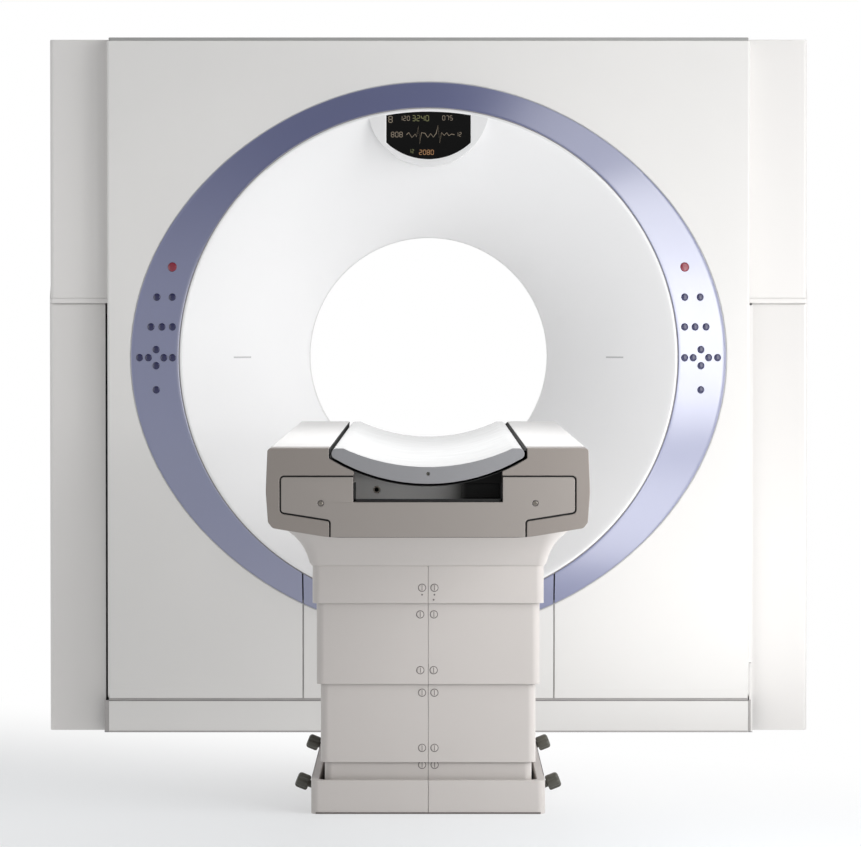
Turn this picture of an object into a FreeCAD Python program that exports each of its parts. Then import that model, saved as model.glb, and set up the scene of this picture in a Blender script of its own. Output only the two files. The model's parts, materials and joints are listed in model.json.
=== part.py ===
"""A hospital CT scanner: a tilting ring gantry with the patient table in front of it.

Millimetres. X points right, Y away from the foot of the table, Z up. The origin is on the
floor under the isocentre, the point where the bore's axis crosses the gantry's tilt axis.
"""

import FreeCAD
import Part
import math
import os

from FreeCAD import Vector

ISO_Z = 1075.0  # height of the bore's axis and of the tilt axis
BORE_R = 350.0

# control ring: an oval outer edge on the front plane, a round rim nearer the viewer
RING_RIM_R = 713.0
RING_SIDE_W = 139.0  # from the rim to the outer edge, at the sides
RING_TOP_W = 74.0  # and at the top
RING_FLAT = 0.0155  # how far the oval is drawn in between its axes, as a share
RING_POINTS = 48
RING_PAST = 1.04  # how far its face runs on past the rim before it is cut, as a share
RING_HALF_W = RING_RIM_R + RING_SIDE_W
RING_HALF_H = RING_RIM_R + RING_TOP_W
RING_RISE = 45.0
RING_WALL = 5.0
RING_GROOVE = 3.0  # shadow gap at both edges of the ring
RING_FLANGE = 12.0
RING_FLANGE_T = 3.0
RIM_RETURN_T = 2.0
RIM_RETURN_D = 20.0

# gantry housing
HOUSING_SIDE_W = 68.0  # from the ring to the housing's side
HOUSING_TOP_W = 119.0  # and to its top
HOUSING_HALF_W = RING_HALF_W + HOUSING_SIDE_W
HOUSING_HALF_D = 380.0
HOUSING_BOTTOM = 96.0
HOUSING_TOP = ISO_Z + RING_HALF_H + HOUSING_TOP_W
COVER_WALL = 4.0
COVER_REACH = 120.0  # how far the front and rear covers wrap round the housing
BOTTOM_EDGE_R = 30.0
SIDE_EDGE_R = 8.0
TOP_COVER_T = 9.0
TOP_COVER_MARGIN = 5.0
SEAM_X = 359.5  # the service panel's seams
SEAM_GAP = 4.0
RETURN_D = 26.0  # folded edges along the seams

# funnels
THROAT_HALF = 60.0  # half the width of the window ring
THROAT_EDGE_R = 12.0
FUNNEL_ANGLE = 34.0  # slope at the throat, from the bore's axis
FUNNEL_WALL = 4.0
FUNNEL_BANDS = 5  # conical bands that make its trumpet curve
FUNNEL_LIP = 7.0
REAR_MOUTH_IN = 53.0  # how much less the rear funnel opens than the ring
REAR_MOUTH_R = RING_RIM_R - REAR_MOUTH_IN
WINDOW_WALL = 3.0
SLOT_IN = 200.0  # slots of the positioning lights, in from the rim
SLOT_START_R = RING_RIM_R - SLOT_IN
SLOT_LENGTH = 48.0
SLOT_H = 4.0

# display pod at the top of the front funnel
POD_R = 174.0
POD_OUT = 8.0  # its centre, out from the rim
POD_Z = RING_RIM_R + POD_OUT
POD_WALL = 6.0
SCREEN_HALF_W = 120.0
SCREEN_LIP = 2.0
SCREEN_SIDE_IN = 100.0  # down from the rim to the ends of its lower curve
SCREEN_LOW_IN = 147.0  # and to its lowest point
SCREEN_SIDE_Z = RING_RIM_R - SCREEN_SIDE_IN
SCREEN_LOW_Z = RING_RIM_R - SCREEN_LOW_IN
SCREEN_T = 2.5
SCREEN_RECESS = 0.5
SCREEN_GAP = 0.3

# keys: name, distance out from the rim's widest point and height above the bore's axis
KEY_R = 10.3
STOP_KEY_R = 13.3
KEY_GAP = 0.5
KEY_DEPTH = 7.0
KEY_RISE = 2.5  # how far a key stands out of the ring
KEY_SPOTS = {
    "stop": (19.0, 259.0),
    "laser": (18.5, 173.0),
    "reset": (63.5, 173.0),
    "memory": (18.0, 88.0),
    "preset": (48.5, 88.0),
    "recall": (80.5, 88.0),
    "up": (65.5, 23.0),
    "down": (65.5, -23.0),
    "in_fast": (18.0, 0.0),
    "in": (43.0, 0.0),
    "out": (88.0, 0.0),
    "out_fast": (114.0, 0.0),
    "load": (65.5, -92.0),
}

# side covers (tilting) and stand covers (fixed)
STAND_CLEAR = 10.0  # between the housing and the stands
STAND_W = 161.0
STAND_IN = HOUSING_HALF_W + STAND_CLEAR
STAND_OUT = STAND_IN + STAND_W
SIDE_COVER_SET_IN = 3.0  # from the stand's outer side
SIDE_COVER_OUT = STAND_OUT - SIDE_COVER_SET_IN
SIDE_COVER_HALF_D = 320.0
SIDE_COVER_RISE = 156.0  # its lower edge, above the tilt axis
SIDE_COVER_RAISED = 6.0  # its top, above the housing's
SIDE_COVER_TOP = HOUSING_TOP + SIDE_COVER_RAISED
SIDE_COVER_WALL = 4.0
SIDE_COVER_LIP = 2.0
SIDE_COVER_LIP_H = 14.0
STAND_HALF_D = 312.0
STAND_WALL = 3.0
HEAD_R = 346.0  # the stand's round head, about the tilt axis
HEAD_GAP = 4.0
STAND_GAP = 0.3  # between the stand covers and the base frame
COLUMN_EDGE_R = 12.0

# gantry base frame
RAIL_CLEAR_IN = 15.0  # from the stand's inner side
RAIL_CLEAR_OUT = 16.0  # from the stand's outer side
RAIL_IN = STAND_IN + RAIL_CLEAR_IN
RAIL_OUT = STAND_OUT - RAIL_CLEAR_OUT
RAIL_HALF_D = 300.0
RAIL_H = 60.0
CROSS_RAIL_D = 42.0
CROSS_RAIL_H = 70.0
LINK_W = 44.0
LINK_H = 30.0
PIT_PLATE_H = 28.0
PIT_PLATE_HALF_D = 120.0
PILLAR_SET_IN = 5.0  # from both edges of the rail
PILLAR_IN = RAIL_IN + PILLAR_SET_IN
PILLAR_OUT = RAIL_OUT - PILLAR_SET_IN
PILLAR_FOOT_HALF_D = 200.0
PILLAR_HEAD_R = 125.0
KICK_T = 3.0
KICK_TOP = 90.0
KICK_HALF_W = HOUSING_HALF_W - KICK_T
ANCHOR_R = 9.0
ANCHOR_X = (RAIL_IN + RAIL_OUT) / 2
ANCHOR_Y = 250.0

# tilting frame and rotor
TRUNNION_R = 60.0
TRUNNION_GAP = 0.05
TRUNNION_SET_IN = 5.0  # from the pillar's outer side
TRUNNION_END = PILLAR_OUT - TRUNNION_SET_IN
TRUNNION_PAD_R = 110.0
TRUNNION_PAD_T = 18.0
SIDE_PLATE_T = 11.0
FRAME_HALF_D = 300.0
FRAME_BEAM_H = 40.0
STATOR_Y = 150.0
STATOR_T = 40.0
STATOR_R = 460.0
BEARING_R = 500.0
BEARING_D = 50.0
BEARING_GAP = 0.3
ROTOR_CLEAR = 106.0  # from the housing's top
ROTOR_R = HOUSING_TOP - ISO_Z - ROTOR_CLEAR
ROTOR_RIM_T = 15.0
ROTOR_DISC_T = 20.0
ROTOR_HUB_W = 40.0
ROTOR_RIM_D = 280.0
ROTOR_STEP = 2.0
TUBE_R = 128.0
TUBE_IN = 148.0  # its centre, in from the drum's rim
TUBE_Z = ROTOR_R - TUBE_IN
TUBE_D = 250.0
COLLIMATOR_HALF_W = 70.0
COLLIMATOR_H = 182.0
COLLIMATOR_LOW = TUBE_Z - COLLIMATOR_H
COLLIMATOR_D = 60.0
DETECTOR_CLEAR = 40.0  # in from the drum's rim
DETECTOR_T = 120.0
DETECTOR_OUT_R = ROTOR_R - DETECTOR_CLEAR
DETECTOR_IN_R = DETECTOR_OUT_R - DETECTOR_T
DETECTOR_D = 160.0
DETECTOR_HALF_ANGLE = 28.0

# patient table: top, trough and end cap
TABLE_FRONT = -3160.0
TABLE_REAR = -761.0
CAP_D = 110.0
TROUGH_HALF_W = 360.0
TROUGH_TOP = 902.0
TROUGH_BOTTOM = 703.0
TROUGH_WALL = 5.0
TROUGH_CORNERS = [  # in from the widest point, up from the underside, radius
    (142.0, 0.0, 300.0),
    (15.0, 21.0, 12.0),
    (5.0, 34.0, 12.0),
    (0.0, 102.0, 150.0),
]
TROUGH_LEAN = 4.0  # how far its sides lean in at the top
TROUGH_TOP_R = 9.0
BOARD_HALF_W = 214.0
BOARD_UNDER_R = 412.0
BOARD_UNDER_Z = 822.5
BOARD_CENTRE_Z = BOARD_UNDER_Z + BOARD_UNDER_R  # centre of the underside's curve
BOARD_HOLLOW_Z = 860.0
BOARD_HOLLOW_HALF_W = 175.0
BOARD_HOLLOW_EDGE_Z = 895.6
BOARD_EDGE_Z = 901.4
BOARD_TIP_LOW = 5.0  # its rounded tips, in from the widest point
BOARD_TIP_TOP = 11.0
BOARD_RIM_W = 12.0
BOARD_GAP = 6.0
BOARD_HOLE_Z = 845.0
BOARD_HOLE_R = 4.0
BOARD_HOLE_D = 7.0
RUNNER_X = 120.0
RUNNER_W = 20.0
RUNNER_GAP = 0.3
RECESS_HALF_W = 165.0
RECESS_FLOOR = 783.0
PANEL_T = 4.0
PANEL_GAP = 2.5
PANEL_TOP = 838.5
PANEL_WING = 327.0
PANEL_WING_LOW = 759.0
PANEL_NECK = 217.0
PANEL_NECK_Z = 741.5
PANEL_R = 8.0
SCREW_X = 238.0
SCREW_Z = 779.5
SCREW_R = 6.0
CAP_FRONT_WALL = 12.0
SOCKET_X = -115.0
SOCKET_Z = 805.5
SOCKET_R = 8.0
HATCH_IN = 75.0
HATCH_OUT = 160.0
HATCH_LOW = 4.0  # its edges above the recess floor
HATCH_HIGH = 35.0

# pedestal: telescoping covers, plinth and lift column
PEDESTAL_HALF_W = 277.5
PEDESTAL_FRONT = -2397.0
PEDESTAL_REAR = -1190.0
PEDESTAL_CORNER_R = 20.0
STAGE_STEP = 9.5
STAGE_WALL = 4.0
STAGE_GAP = 0.3
STAGE_LIP_H = 10.0
HALVES_GAP = 0.8
STAGE_HEIGHTS = {  # lower and upper edge at rest
    "pedestal_cover_top": (506.0, 596.0),
    "pedestal_cover_upper": (311.0, 566.0),
    "pedestal_cover_middle": (122.0, 420.0),
    "pedestal_cover_lower": (57.0, 200.0),
}
COLLAR_LEDGE = 2.0
COLLAR_FOOT = 7.0  # height and spread of its bevelled foot
COLLAR_R = 125.0  # the hollow curve of its sides
COLLAR_START = 12.0
COLLAR_END = 62.0
COLLAR_BANDS = 6
COLLAR_BAND = 40.0
COLLAR_CORNER = 0.6  # corner radius gained for each unit of spread
PLINTH_GROW = 3.5
PLINTH_WALL = 19.0
PLINTH_H = 81.0
FLOOR_PLATE_T = 12.0
COLUMN_Y = -1793.5
COLUMN_HALF = 170.0
COLUMN_WALL = 10.0
COLUMN_R = 16.0
POST_TOP = 325.0
MIDDLE_COLUMN = (197.0, 510.0)
INNER_COLUMN_BOTTOM = 382.0
COLUMN_FLANGE_T = 12.0
TABLE_ANCHOR_R = 7.0
TABLE_ANCHOR_X = 200.0
TABLE_ANCHOR_REACH = 500.0

# foot switches
SWITCH_REACH = 107.0  # from each end of the pedestal
REAR_SWITCH_REACH = 155.0
SWITCH_ANGLE = 22.0
SWITCH_R = 19.0
SWITCH_L = 32.0
SWITCH_EDGE = 2.0
SWITCH_OFFSET = 24.0  # knob centre from the plinth's wall, along its axis
SWITCH_WALL_Z = 59.0
SWITCH_STEM_R = 8.5
SWITCH_STEM_SEAT = 10.0
SWITCH_TRAVEL = 5.0
SWITCH_GAP = 0.3
SWITCH_ROOM = 1.0  # round the knob in its scallop

ISO = Vector(0, 0, ISO_Z)
ALONG_X = Vector(1, 0, 0)
ALONG_Y = Vector(0, 1, 0)
FAR = 4000.0
PAST = 1.0  # how far a cutting tool runs past a face


def at_plan(u, v, level):
    """Plan view: u along X, v along Y."""
    return Vector(u, v, level)


def at_front(u, v, level):
    """Front view: u along X, v along Z."""
    return Vector(u, level, v)


def at_side(u, v, level):
    """Side view: u along Y, v along Z."""
    return Vector(level, u, v)


def outline(place, corners, level):
    """A closed wire through corners (u, v, radius), each rounded by its radius."""
    turns = []
    for i, (u, v, radius) in enumerate(corners):
        here = Vector(u, v, 0)
        back = (Vector(*corners[i - 1][:2], 0) - here).normalize()
        ahead = (Vector(*corners[(i + 1) % len(corners)][:2], 0) - here).normalize()
        half = back.getAngle(ahead) / 2
        reach = radius / math.tan(half)
        middle = here + (back + ahead).normalize() * (radius / math.sin(half) - radius)
        turns.append((here + back * reach, middle, here + ahead * reach))
    edges = []
    for i, turn in enumerate(turns):
        enter, middle, leave = (place(p.x, p.y, level) for p in turn)
        if corners[i][2] > 0:
            edges.append(Part.Arc(enter, middle, leave).toShape())
        ahead = turns[(i + 1) % len(turns)][0]
        ahead = place(ahead.x, ahead.y, level)
        if leave.distanceToPoint(ahead) > 1e-6:
            edges.append(Part.LineSegment(leave, ahead).toShape())
    return Part.Wire(edges)


def slab(place, corners, start, end):
    """An outline of a view, extruded square to that view from start to end."""
    face = Part.Face(outline(place, corners, start))
    return face.extrude(place(0, 0, end) - place(0, 0, start))


def box(x0, x1, y0, y1, z0, z1):
    return Part.makeBox(x1 - x0, y1 - y0, z1 - z0, Vector(x0, y0, z0))


def mirrored(shape):
    """The same shape on the other side of the scanner's middle plane."""
    return shape.mirror(Vector(), ALONG_X)


def both_sides(shape):
    return shape.fuse(mirrored(shape))


def disc(radius, y0, y1):
    """A cylinder about the bore's axis."""
    return Part.makeCylinder(radius, y1 - y0, Vector(0, y0, ISO_Z), ALONG_Y)


def ring(outer, inner, y0, y1):
    return disc(outer, y0, y1).cut(disc(inner, y0 - 1, y1 + 1))


def tilt_disc(radius, x0, x1):
    """A cylinder about the tilt axis."""
    return Part.makeCylinder(radius, x1 - x0, Vector(x0, 0, ISO_Z), ALONG_X)


def rectangle(half_w, low, high, radius=0.0):
    return [(-half_w, low, radius), (half_w, low, radius), (half_w, high, radius), (-half_w, high, radius)]


def oval_radius(half_w, half_h, angle):
    """An ellipse's radius at an angle, drawn in a little between its axes."""
    plain = 1 / math.hypot(math.cos(angle) / half_w, math.sin(angle) / half_h)
    return plain * (1 - RING_FLAT * math.sin(2 * angle) ** 2)


def oval(grow, share, y):
    """The control ring's outer edge grown by a margin, and carried by a share of the way to the rim."""
    points = []
    for k in range(RING_POINTS):
        angle = 2 * math.pi * k / RING_POINTS
        radius = oval_radius(RING_HALF_W + grow, RING_HALF_H + grow, angle)
        radius += (RING_RIM_R - radius) * share
        points.append(Vector(radius * math.cos(angle), y, ISO_Z + radius * math.sin(angle)))
    curve = Part.BSplineCurve()
    curve.interpolate(Points=points, PeriodicFlag=True, Parameters=[float(k) for k in range(RING_POINTS + 1)])
    return Part.Wire(curve.toShape())


def oval_plug(grow, y0, y1):
    """A straight plug on the control ring's outer edge, grown by a margin."""
    return Part.Face(oval(grow, 0, y0)).extrude(Vector(0, y1 - y0, 0))


# ---- gantry housing


def housing_block(inset):
    """The whole housing with its rounded edges, moved in by inset all round."""
    half_w = HOUSING_HALF_W - inset
    half_d = HOUSING_HALF_D - inset
    low = HOUSING_BOTTOM + inset
    high = HOUSING_TOP - inset
    plan = [
        (-half_w, -half_d, SIDE_EDGE_R - inset),
        (half_w, -half_d, SIDE_EDGE_R - inset),
        (half_w, half_d, SIDE_EDGE_R - inset),
        (-half_w, half_d, SIDE_EDGE_R - inset),
    ]
    edge = BOTTOM_EDGE_R - inset
    side = [(-half_d, low, edge), (half_d, low, edge), (half_d, high, 0), (-half_d, high, 0)]
    return slab(at_plan, plan, low, high).common(slab(at_side, side, -half_w, half_w))


def housing_pan(front):
    """The front or rear half shell: one wall with the edges that wrap round the housing."""
    near, far = -HOUSING_HALF_D, -HOUSING_HALF_D + COVER_REACH
    if not front:
        near, far = -far, -near
    shell = housing_block(0).cut(housing_block(COVER_WALL))
    return shell.common(box(-FAR, FAR, near, far, 0, FAR))


def seam_return(x):
    """A folded edge behind the front wall, along one side of a seam."""
    y0 = -HOUSING_HALF_D + COVER_WALL / 2
    low = HOUSING_BOTTOM + BOTTOM_EDGE_R
    fold = box(x, x + COVER_WALL, y0, y0 + RETURN_D, low, ISO_Z)
    return fold.cut(oval_plug(RING_FLANGE + RING_GROOVE, y0 - 1, y0 + RETURN_D + 1))


def front_opening():
    return oval_plug(RING_GROOVE, -HOUSING_HALF_D - 1, -HOUSING_HALF_D + COVER_REACH + 1)


def front_cover():
    slot = SEAM_X + SEAM_GAP / 2
    cover = housing_pan(True).cut(front_opening())
    cover = cover.cut(box(-slot, slot, -FAR, 0, 0, ISO_Z))
    return cover.fuse(both_sides(seam_return(slot))).removeSplitter()


def service_panel():
    edge = SEAM_X - SEAM_GAP / 2
    panel = housing_pan(True).cut(front_opening())
    panel = panel.common(box(-edge, edge, -FAR, 0, 0, ISO_Z))
    return panel.fuse(both_sides(seam_return(edge - COVER_WALL))).removeSplitter()


def ring_cone(shift):
    """The control ring's outer form, as a solid frustum moved back by shift."""
    outer = oval(0, 0, -HOUSING_HALF_D + shift)
    inner = oval(0, RING_PAST, -HOUSING_HALF_D - RING_RISE * RING_PAST + shift)
    return Part.makeLoft([outer, inner], True, True)


def control_ring():
    """The conical ring in its two pieces, with the flanges that it hangs on and the key holes."""
    front = -HOUSING_HALF_D
    rim_y = front - RING_RISE
    back = front + COVER_WALL
    end = back + RING_FLANGE_T
    skirt = oval_plug(0, front, end)
    flange = oval_plug(RING_FLANGE + RING_GROOVE, back, end)
    fold_end = rim_y + RING_WALL + RIM_RETURN_D
    fold = ring(RING_RIM_R + RIM_RETURN_T, RING_RIM_R - 1, rim_y + RING_WALL / 2, fold_end)
    outer = ring_cone(0).fuse([skirt, flange])
    inner = ring_cone(RING_WALL).fuse(oval_plug(-RING_FLANGE, front + RING_WALL, end + 1))
    whole = outer.cut(inner).fuse(fold).cut(disc(RING_RIM_R, rim_y - RING_RISE, end + 1))
    seam = box(SEAM_X - SEAM_GAP / 2, SEAM_X + SEAM_GAP / 2, -FAR, 0, 0, ISO_Z)
    whole = whole.cut([seam, mirrored(seam)])
    for side in (-1, 1):
        for name in KEY_SPOTS:
            whole = whole.cut(key_hole(side, name))
    return whole


# ---- keys on the control ring


def ring_depth(x, z):
    """How far the ring's face stands in front of the isocentre at (x, z above the axis)."""
    edge = oval_radius(RING_HALF_W, RING_HALF_H, math.atan2(z, x))
    return HOUSING_HALF_D + RING_RISE * (edge - math.hypot(x, z)) / (edge - RING_RIM_R)


def ring_spot(x, z):
    """The point of the ring's face in front of (x, z above the axis), and its normal."""
    step = 0.01
    across = (ring_depth(x + step, z) - ring_depth(x - step, z)) / (2 * step)
    up = (ring_depth(x, z + step) - ring_depth(x, z - step)) / (2 * step)
    return Vector(x, -ring_depth(x, z), ISO_Z + z), Vector(-across, -1, -up).normalize()


def key_radius(name):
    return STOP_KEY_R if name == "stop" else KEY_R


def key_spot(side, name):
    """The point of the ring's face under a key's middle, and its normal."""
    out, z = KEY_SPOTS[name]
    return ring_spot(side * (RING_RIM_R + out), z)


def key_hole(side, name):
    spot, normal = key_spot(side, name)
    reach = RING_WALL * 3
    return Part.makeCylinder(key_radius(name) + KEY_GAP, 2 * reach, spot - normal * reach, normal)


def key(side, name):
    """A plunger that stands just proud of the ring."""
    spot, normal = key_spot(side, name)
    return Part.makeCylinder(key_radius(name), KEY_DEPTH + KEY_RISE, spot - normal * KEY_DEPTH, normal)


# ---- funnels, display and window ring


def funnel_point(side, s, r):
    """A point of a funnel's section: s from the isocentre towards its mouth, r from the axis."""
    return Vector(r, side * s, ISO_Z)


def funnel_curve(side, mouth_s, mouth_r, depth):
    """Points along the funnel's trumpet curve from throat to mouth, moved into the wall by depth."""
    tilt = math.radians(FUNNEL_ANGLE)
    s0 = THROAT_HALF + THROAT_EDGE_R * math.sin(tilt)
    r0 = BORE_R + THROAT_EDGE_R * (1 - math.cos(tilt))
    chord = math.atan2(mouth_r - r0, mouth_s - s0)
    radius = math.hypot(mouth_s - s0, mouth_r - r0) / (2 * math.sin(chord - tilt))
    centre_s = s0 - radius * math.sin(tilt)
    centre_r = r0 + radius * math.cos(tilt)
    points = []
    for i in range(FUNNEL_BANDS + 1):
        a = tilt + 2 * (chord - tilt) * i / FUNNEL_BANDS
        reach = radius - depth
        points.append(funnel_point(side, centre_s + reach * math.sin(a), centre_r - reach * math.cos(a)))
    return points


def turned(points):
    """A solid turned about the bore's axis from a closed outline of straight sides."""
    return Part.Face(Part.makePolygon(points + points[:1])).revolve(ISO, ALONG_Y, 360)


def funnel_wall(side, mouth_s, mouth_r, rim):
    """The funnel's wall from the window ring's edge out to its mouth and the given rim."""
    face = funnel_curve(side, mouth_s, mouth_r, 0)
    rear = funnel_curve(side, mouth_s, mouth_r, FUNNEL_WALL)
    throat = [funnel_point(side, THROAT_HALF, r) for r in (rear[0].x, BORE_R)]
    tilt = math.radians(FUNNEL_ANGLE) / 2
    edge_s = THROAT_HALF + THROAT_EDGE_R * math.sin(tilt)
    edge = funnel_point(side, edge_s, BORE_R + THROAT_EDGE_R * (1 - math.cos(tilt)))
    return turned(throat + [edge] + face + rim + rear[::-1])


def front_funnel():
    """The white funnel with its rim, hanging flange, display pod and light slots."""
    mouth_s = HOUSING_HALF_D + RING_RISE
    lip_r = RING_RIM_R - RING_GROOVE
    mouth_r = lip_r - FUNNEL_LIP
    flange_s = mouth_s - RING_WALL - RIM_RETURN_D
    flange_r = RING_RIM_R + RIM_RETURN_T
    rim = [
        funnel_point(-1, mouth_s, lip_r),
        funnel_point(-1, flange_s, lip_r),
        funnel_point(-1, flange_s, flange_r),
        funnel_point(-1, flange_s - FUNNEL_WALL, flange_r),
        funnel_point(-1, flange_s - FUNNEL_WALL, lip_r - FUNNEL_WALL),
    ]
    body = funnel_wall(-1, mouth_s, mouth_r, rim)
    body = body.fuse(display_pod(mouth_s, mouth_r)).cut(pod_cavity(mouth_s, mouth_r))
    body = body.cut(screen(SCREEN_GAP, -mouth_s - 1, -mouth_s + SCREEN_T + SCREEN_RECESS))
    return body.cut([light_slot(-1), light_slot(1)]).removeSplitter()


def mouth_plug(mouth_s, mouth_r):
    """All the room in front of the funnel's wall, from the axis out."""
    curve = funnel_curve(-1, mouth_s, mouth_r, FUNNEL_WALL / 2)
    front = [funnel_point(-1, mouth_s, curve[-1].x), funnel_point(-1, mouth_s, 0)]
    return turned(curve + front + [funnel_point(-1, -curve[0].y, 0)])


def pod_cylinder(radius, y0, y1):
    return Part.makeCylinder(radius, y1 - y0, Vector(0, y0, ISO_Z + POD_Z), ALONG_Y)


def display_pod(mouth_s, mouth_r):
    pod = pod_cylinder(POD_R, -mouth_s, -THROAT_HALF * 2)
    pod = pod.common(disc(mouth_r + FUNNEL_LIP / 2, -mouth_s, 0))
    return pod.common(mouth_plug(mouth_s, mouth_r))


def pod_cavity(mouth_s, mouth_r):
    """The pod's hollow, open to the inside of the housing."""
    hollow = pod_cylinder(POD_R - POD_WALL, -mouth_s + POD_WALL, -THROAT_HALF * 2)
    return hollow.common(disc(mouth_r - POD_WALL, -mouth_s, 0))


def screen(grow, y0, y1):
    """The display glass: straight sides between the rim's curve and a shallow lower curve."""
    top_r = RING_RIM_R - RING_GROOVE - FUNNEL_LIP - SCREEN_LIP + grow
    half_w = SCREEN_HALF_W + grow
    top = math.sqrt(top_r**2 - half_w**2)
    points = [
        Vector(-half_w, y0, ISO_Z + top),
        Vector(0, y0, ISO_Z + top_r),
        Vector(half_w, y0, ISO_Z + top),
        Vector(half_w, y0, ISO_Z + SCREEN_SIDE_Z),
        Vector(0, y0, ISO_Z + SCREEN_LOW_Z - grow),
        Vector(-half_w, y0, ISO_Z + SCREEN_SIDE_Z),
    ]
    edges = [
        Part.Arc(*points[:3]).toShape(),
        Part.LineSegment(points[2], points[3]).toShape(),
        Part.Arc(*points[3:]).toShape(),
        Part.LineSegment(points[5], points[0]).toShape(),
    ]
    return Part.Face(Part.Wire(edges)).extrude(Vector(0, y1 - y0, 0))


def display_screen():
    front = -HOUSING_HALF_D - RING_RISE + SCREEN_RECESS
    return screen(0, front, front + SCREEN_T)


def light_slot(side):
    x0 = min(side * SLOT_START_R, side * (SLOT_START_R + SLOT_LENGTH))
    return box(x0, x0 + SLOT_LENGTH, -HOUSING_HALF_D, -THROAT_HALF, ISO_Z - SLOT_H / 2, ISO_Z + SLOT_H / 2)


def rear_cover():
    """The rear wall and its funnel, moulded in one."""
    wall = housing_pan(False).cut(disc(REAR_MOUTH_R, 0, FAR))
    return wall.fuse(funnel_wall(1, HOUSING_HALF_D, REAR_MOUTH_R, [])).removeSplitter()


def scan_window():
    return ring(BORE_R + WINDOW_WALL, BORE_R, -THROAT_HALF, THROAT_HALF)


def top_cover():
    half_w = HOUSING_HALF_W - TOP_COVER_MARGIN
    plan = rectangle(half_w, -HOUSING_HALF_D, HOUSING_HALF_D, SIDE_EDGE_R)
    return slab(at_plan, plan, HOUSING_TOP, HOUSING_TOP + TOP_COVER_T)


# ---- side covers and stands


def column_block(x0, x1, half_d, inset, z0, z1):
    """An upright block beside the housing, its outer corners rounded, moved in by inset."""
    radius = COLUMN_EDGE_R - inset
    plan = [
        (x0, -half_d + inset, 0),
        (x1 - inset, -half_d + inset, radius),
        (x1 - inset, half_d - inset, radius),
        (x0, half_d - inset, 0),
    ]
    return slab(at_plan, plan, z0, z1)


def side_cover():
    """The tilting cover's right side: open below, its outer wall cut round the stand's head."""
    low = ISO_Z + SIDE_COVER_RISE
    x0, wall = HOUSING_HALF_W, SIDE_COVER_WALL
    outer = column_block(x0, SIDE_COVER_OUT, SIDE_COVER_HALF_D, 0, low, SIDE_COVER_TOP)
    lip_out = SIDE_COVER_OUT + SIDE_COVER_LIP
    lip_half_d = SIDE_COVER_HALF_D + SIDE_COVER_LIP
    lip = column_block(x0, lip_out, lip_half_d, 0, low, low + SIDE_COVER_LIP_H)
    inner = column_block(x0 - 1, SIDE_COVER_OUT, SIDE_COVER_HALF_D, wall, low - 1, SIDE_COVER_TOP - wall)
    shell = outer.fuse(lip).cut(inner)
    return shell.cut(tilt_disc(HEAD_R + HEAD_GAP, SIDE_COVER_OUT - 2 * wall, STAND_OUT + 1)).removeSplitter()


def stand_profile(inset, x0, x1, low):
    """Side view of a stand cover: straight sides up to a round head about the tilt axis."""
    head = HEAD_R - inset
    half_d = STAND_HALF_D - inset
    shoulder = ISO_Z + math.sqrt(head**2 - half_d**2)
    left, right = Vector(x0, -half_d, shoulder), Vector(x0, half_d, shoulder)
    foot_left, foot_right = Vector(x0, -half_d, low), Vector(x0, half_d, low)
    edges = [
        Part.Arc(left, Vector(x0, 0, ISO_Z + head), right).toShape(),
        Part.LineSegment(right, foot_right).toShape(),
        Part.LineSegment(foot_right, foot_left).toShape(),
        Part.LineSegment(foot_left, left).toShape(),
    ]
    return Part.Face(Part.Wire(edges)).extrude(Vector(x1 - x0, 0, 0))


def stand_cover():
    """The fixed cover of the right stand, open towards the housing and below."""
    top = ISO_Z + HEAD_R
    outer = column_block(STAND_IN, STAND_OUT, STAND_HALF_D, 0, 0, top)
    outer = outer.common(stand_profile(0, STAND_IN, STAND_OUT, 0))
    inner = column_block(STAND_IN - 1, STAND_OUT, STAND_HALF_D, STAND_WALL, -1, top)
    inner = inner.common(stand_profile(STAND_WALL, STAND_IN - 1, STAND_OUT, -1))
    return outer.cut(inner)


def pillar():
    """One stand's pillar, tapering up to the round bearing head."""
    foot = slab(
        at_side,
        [
            (-PILLAR_FOOT_HALF_D, RAIL_H, 0),
            (PILLAR_FOOT_HALF_D, RAIL_H, 0),
            (PILLAR_HEAD_R, ISO_Z, 0),
            (-PILLAR_HEAD_R, ISO_Z, 0),
        ],
        PILLAR_IN,
        PILLAR_OUT,
    )
    head = tilt_disc(PILLAR_HEAD_R, PILLAR_IN, PILLAR_OUT)
    bore = tilt_disc(TRUNNION_R + TRUNNION_GAP, PILLAR_IN - 1, PILLAR_OUT + 1)
    return foot.fuse(head).cut(bore)


def gantry_base_frame():
    """Floor rails, the cross rails behind the kick panels, and both bearing pillars."""
    cross_out = HOUSING_HALF_D - KICK_T
    link_x = STAND_IN - STAND_GAP
    rail = box(RAIL_IN, RAIL_OUT, -RAIL_HALF_D, RAIL_HALF_D, 0, RAIL_H)
    link = box(link_x - LINK_W, link_x, -cross_out, cross_out, 0, LINK_H)
    bridge = box(link_x, RAIL_IN, -RAIL_HALF_D, RAIL_HALF_D, 0, LINK_H)
    anchors = [
        Part.makeCylinder(ANCHOR_R, RAIL_H + 2 * PAST, Vector(ANCHOR_X, y, -PAST))
        for y in (-ANCHOR_Y, ANCHOR_Y)
    ]
    stand = rail.fuse([link, bridge, pillar()]).cut(anchors)
    cross = box(-KICK_HALF_W, KICK_HALF_W, cross_out - CROSS_RAIL_D, cross_out, 0, CROSS_RAIL_H)
    other = cross.mirror(Vector(), ALONG_Y)
    pit = box(-link_x, link_x, -PIT_PLATE_HALF_D, PIT_PLATE_HALF_D, 0, PIT_PLATE_H)
    return stand.fuse([mirrored(stand), cross, other, pit]).removeSplitter()


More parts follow.
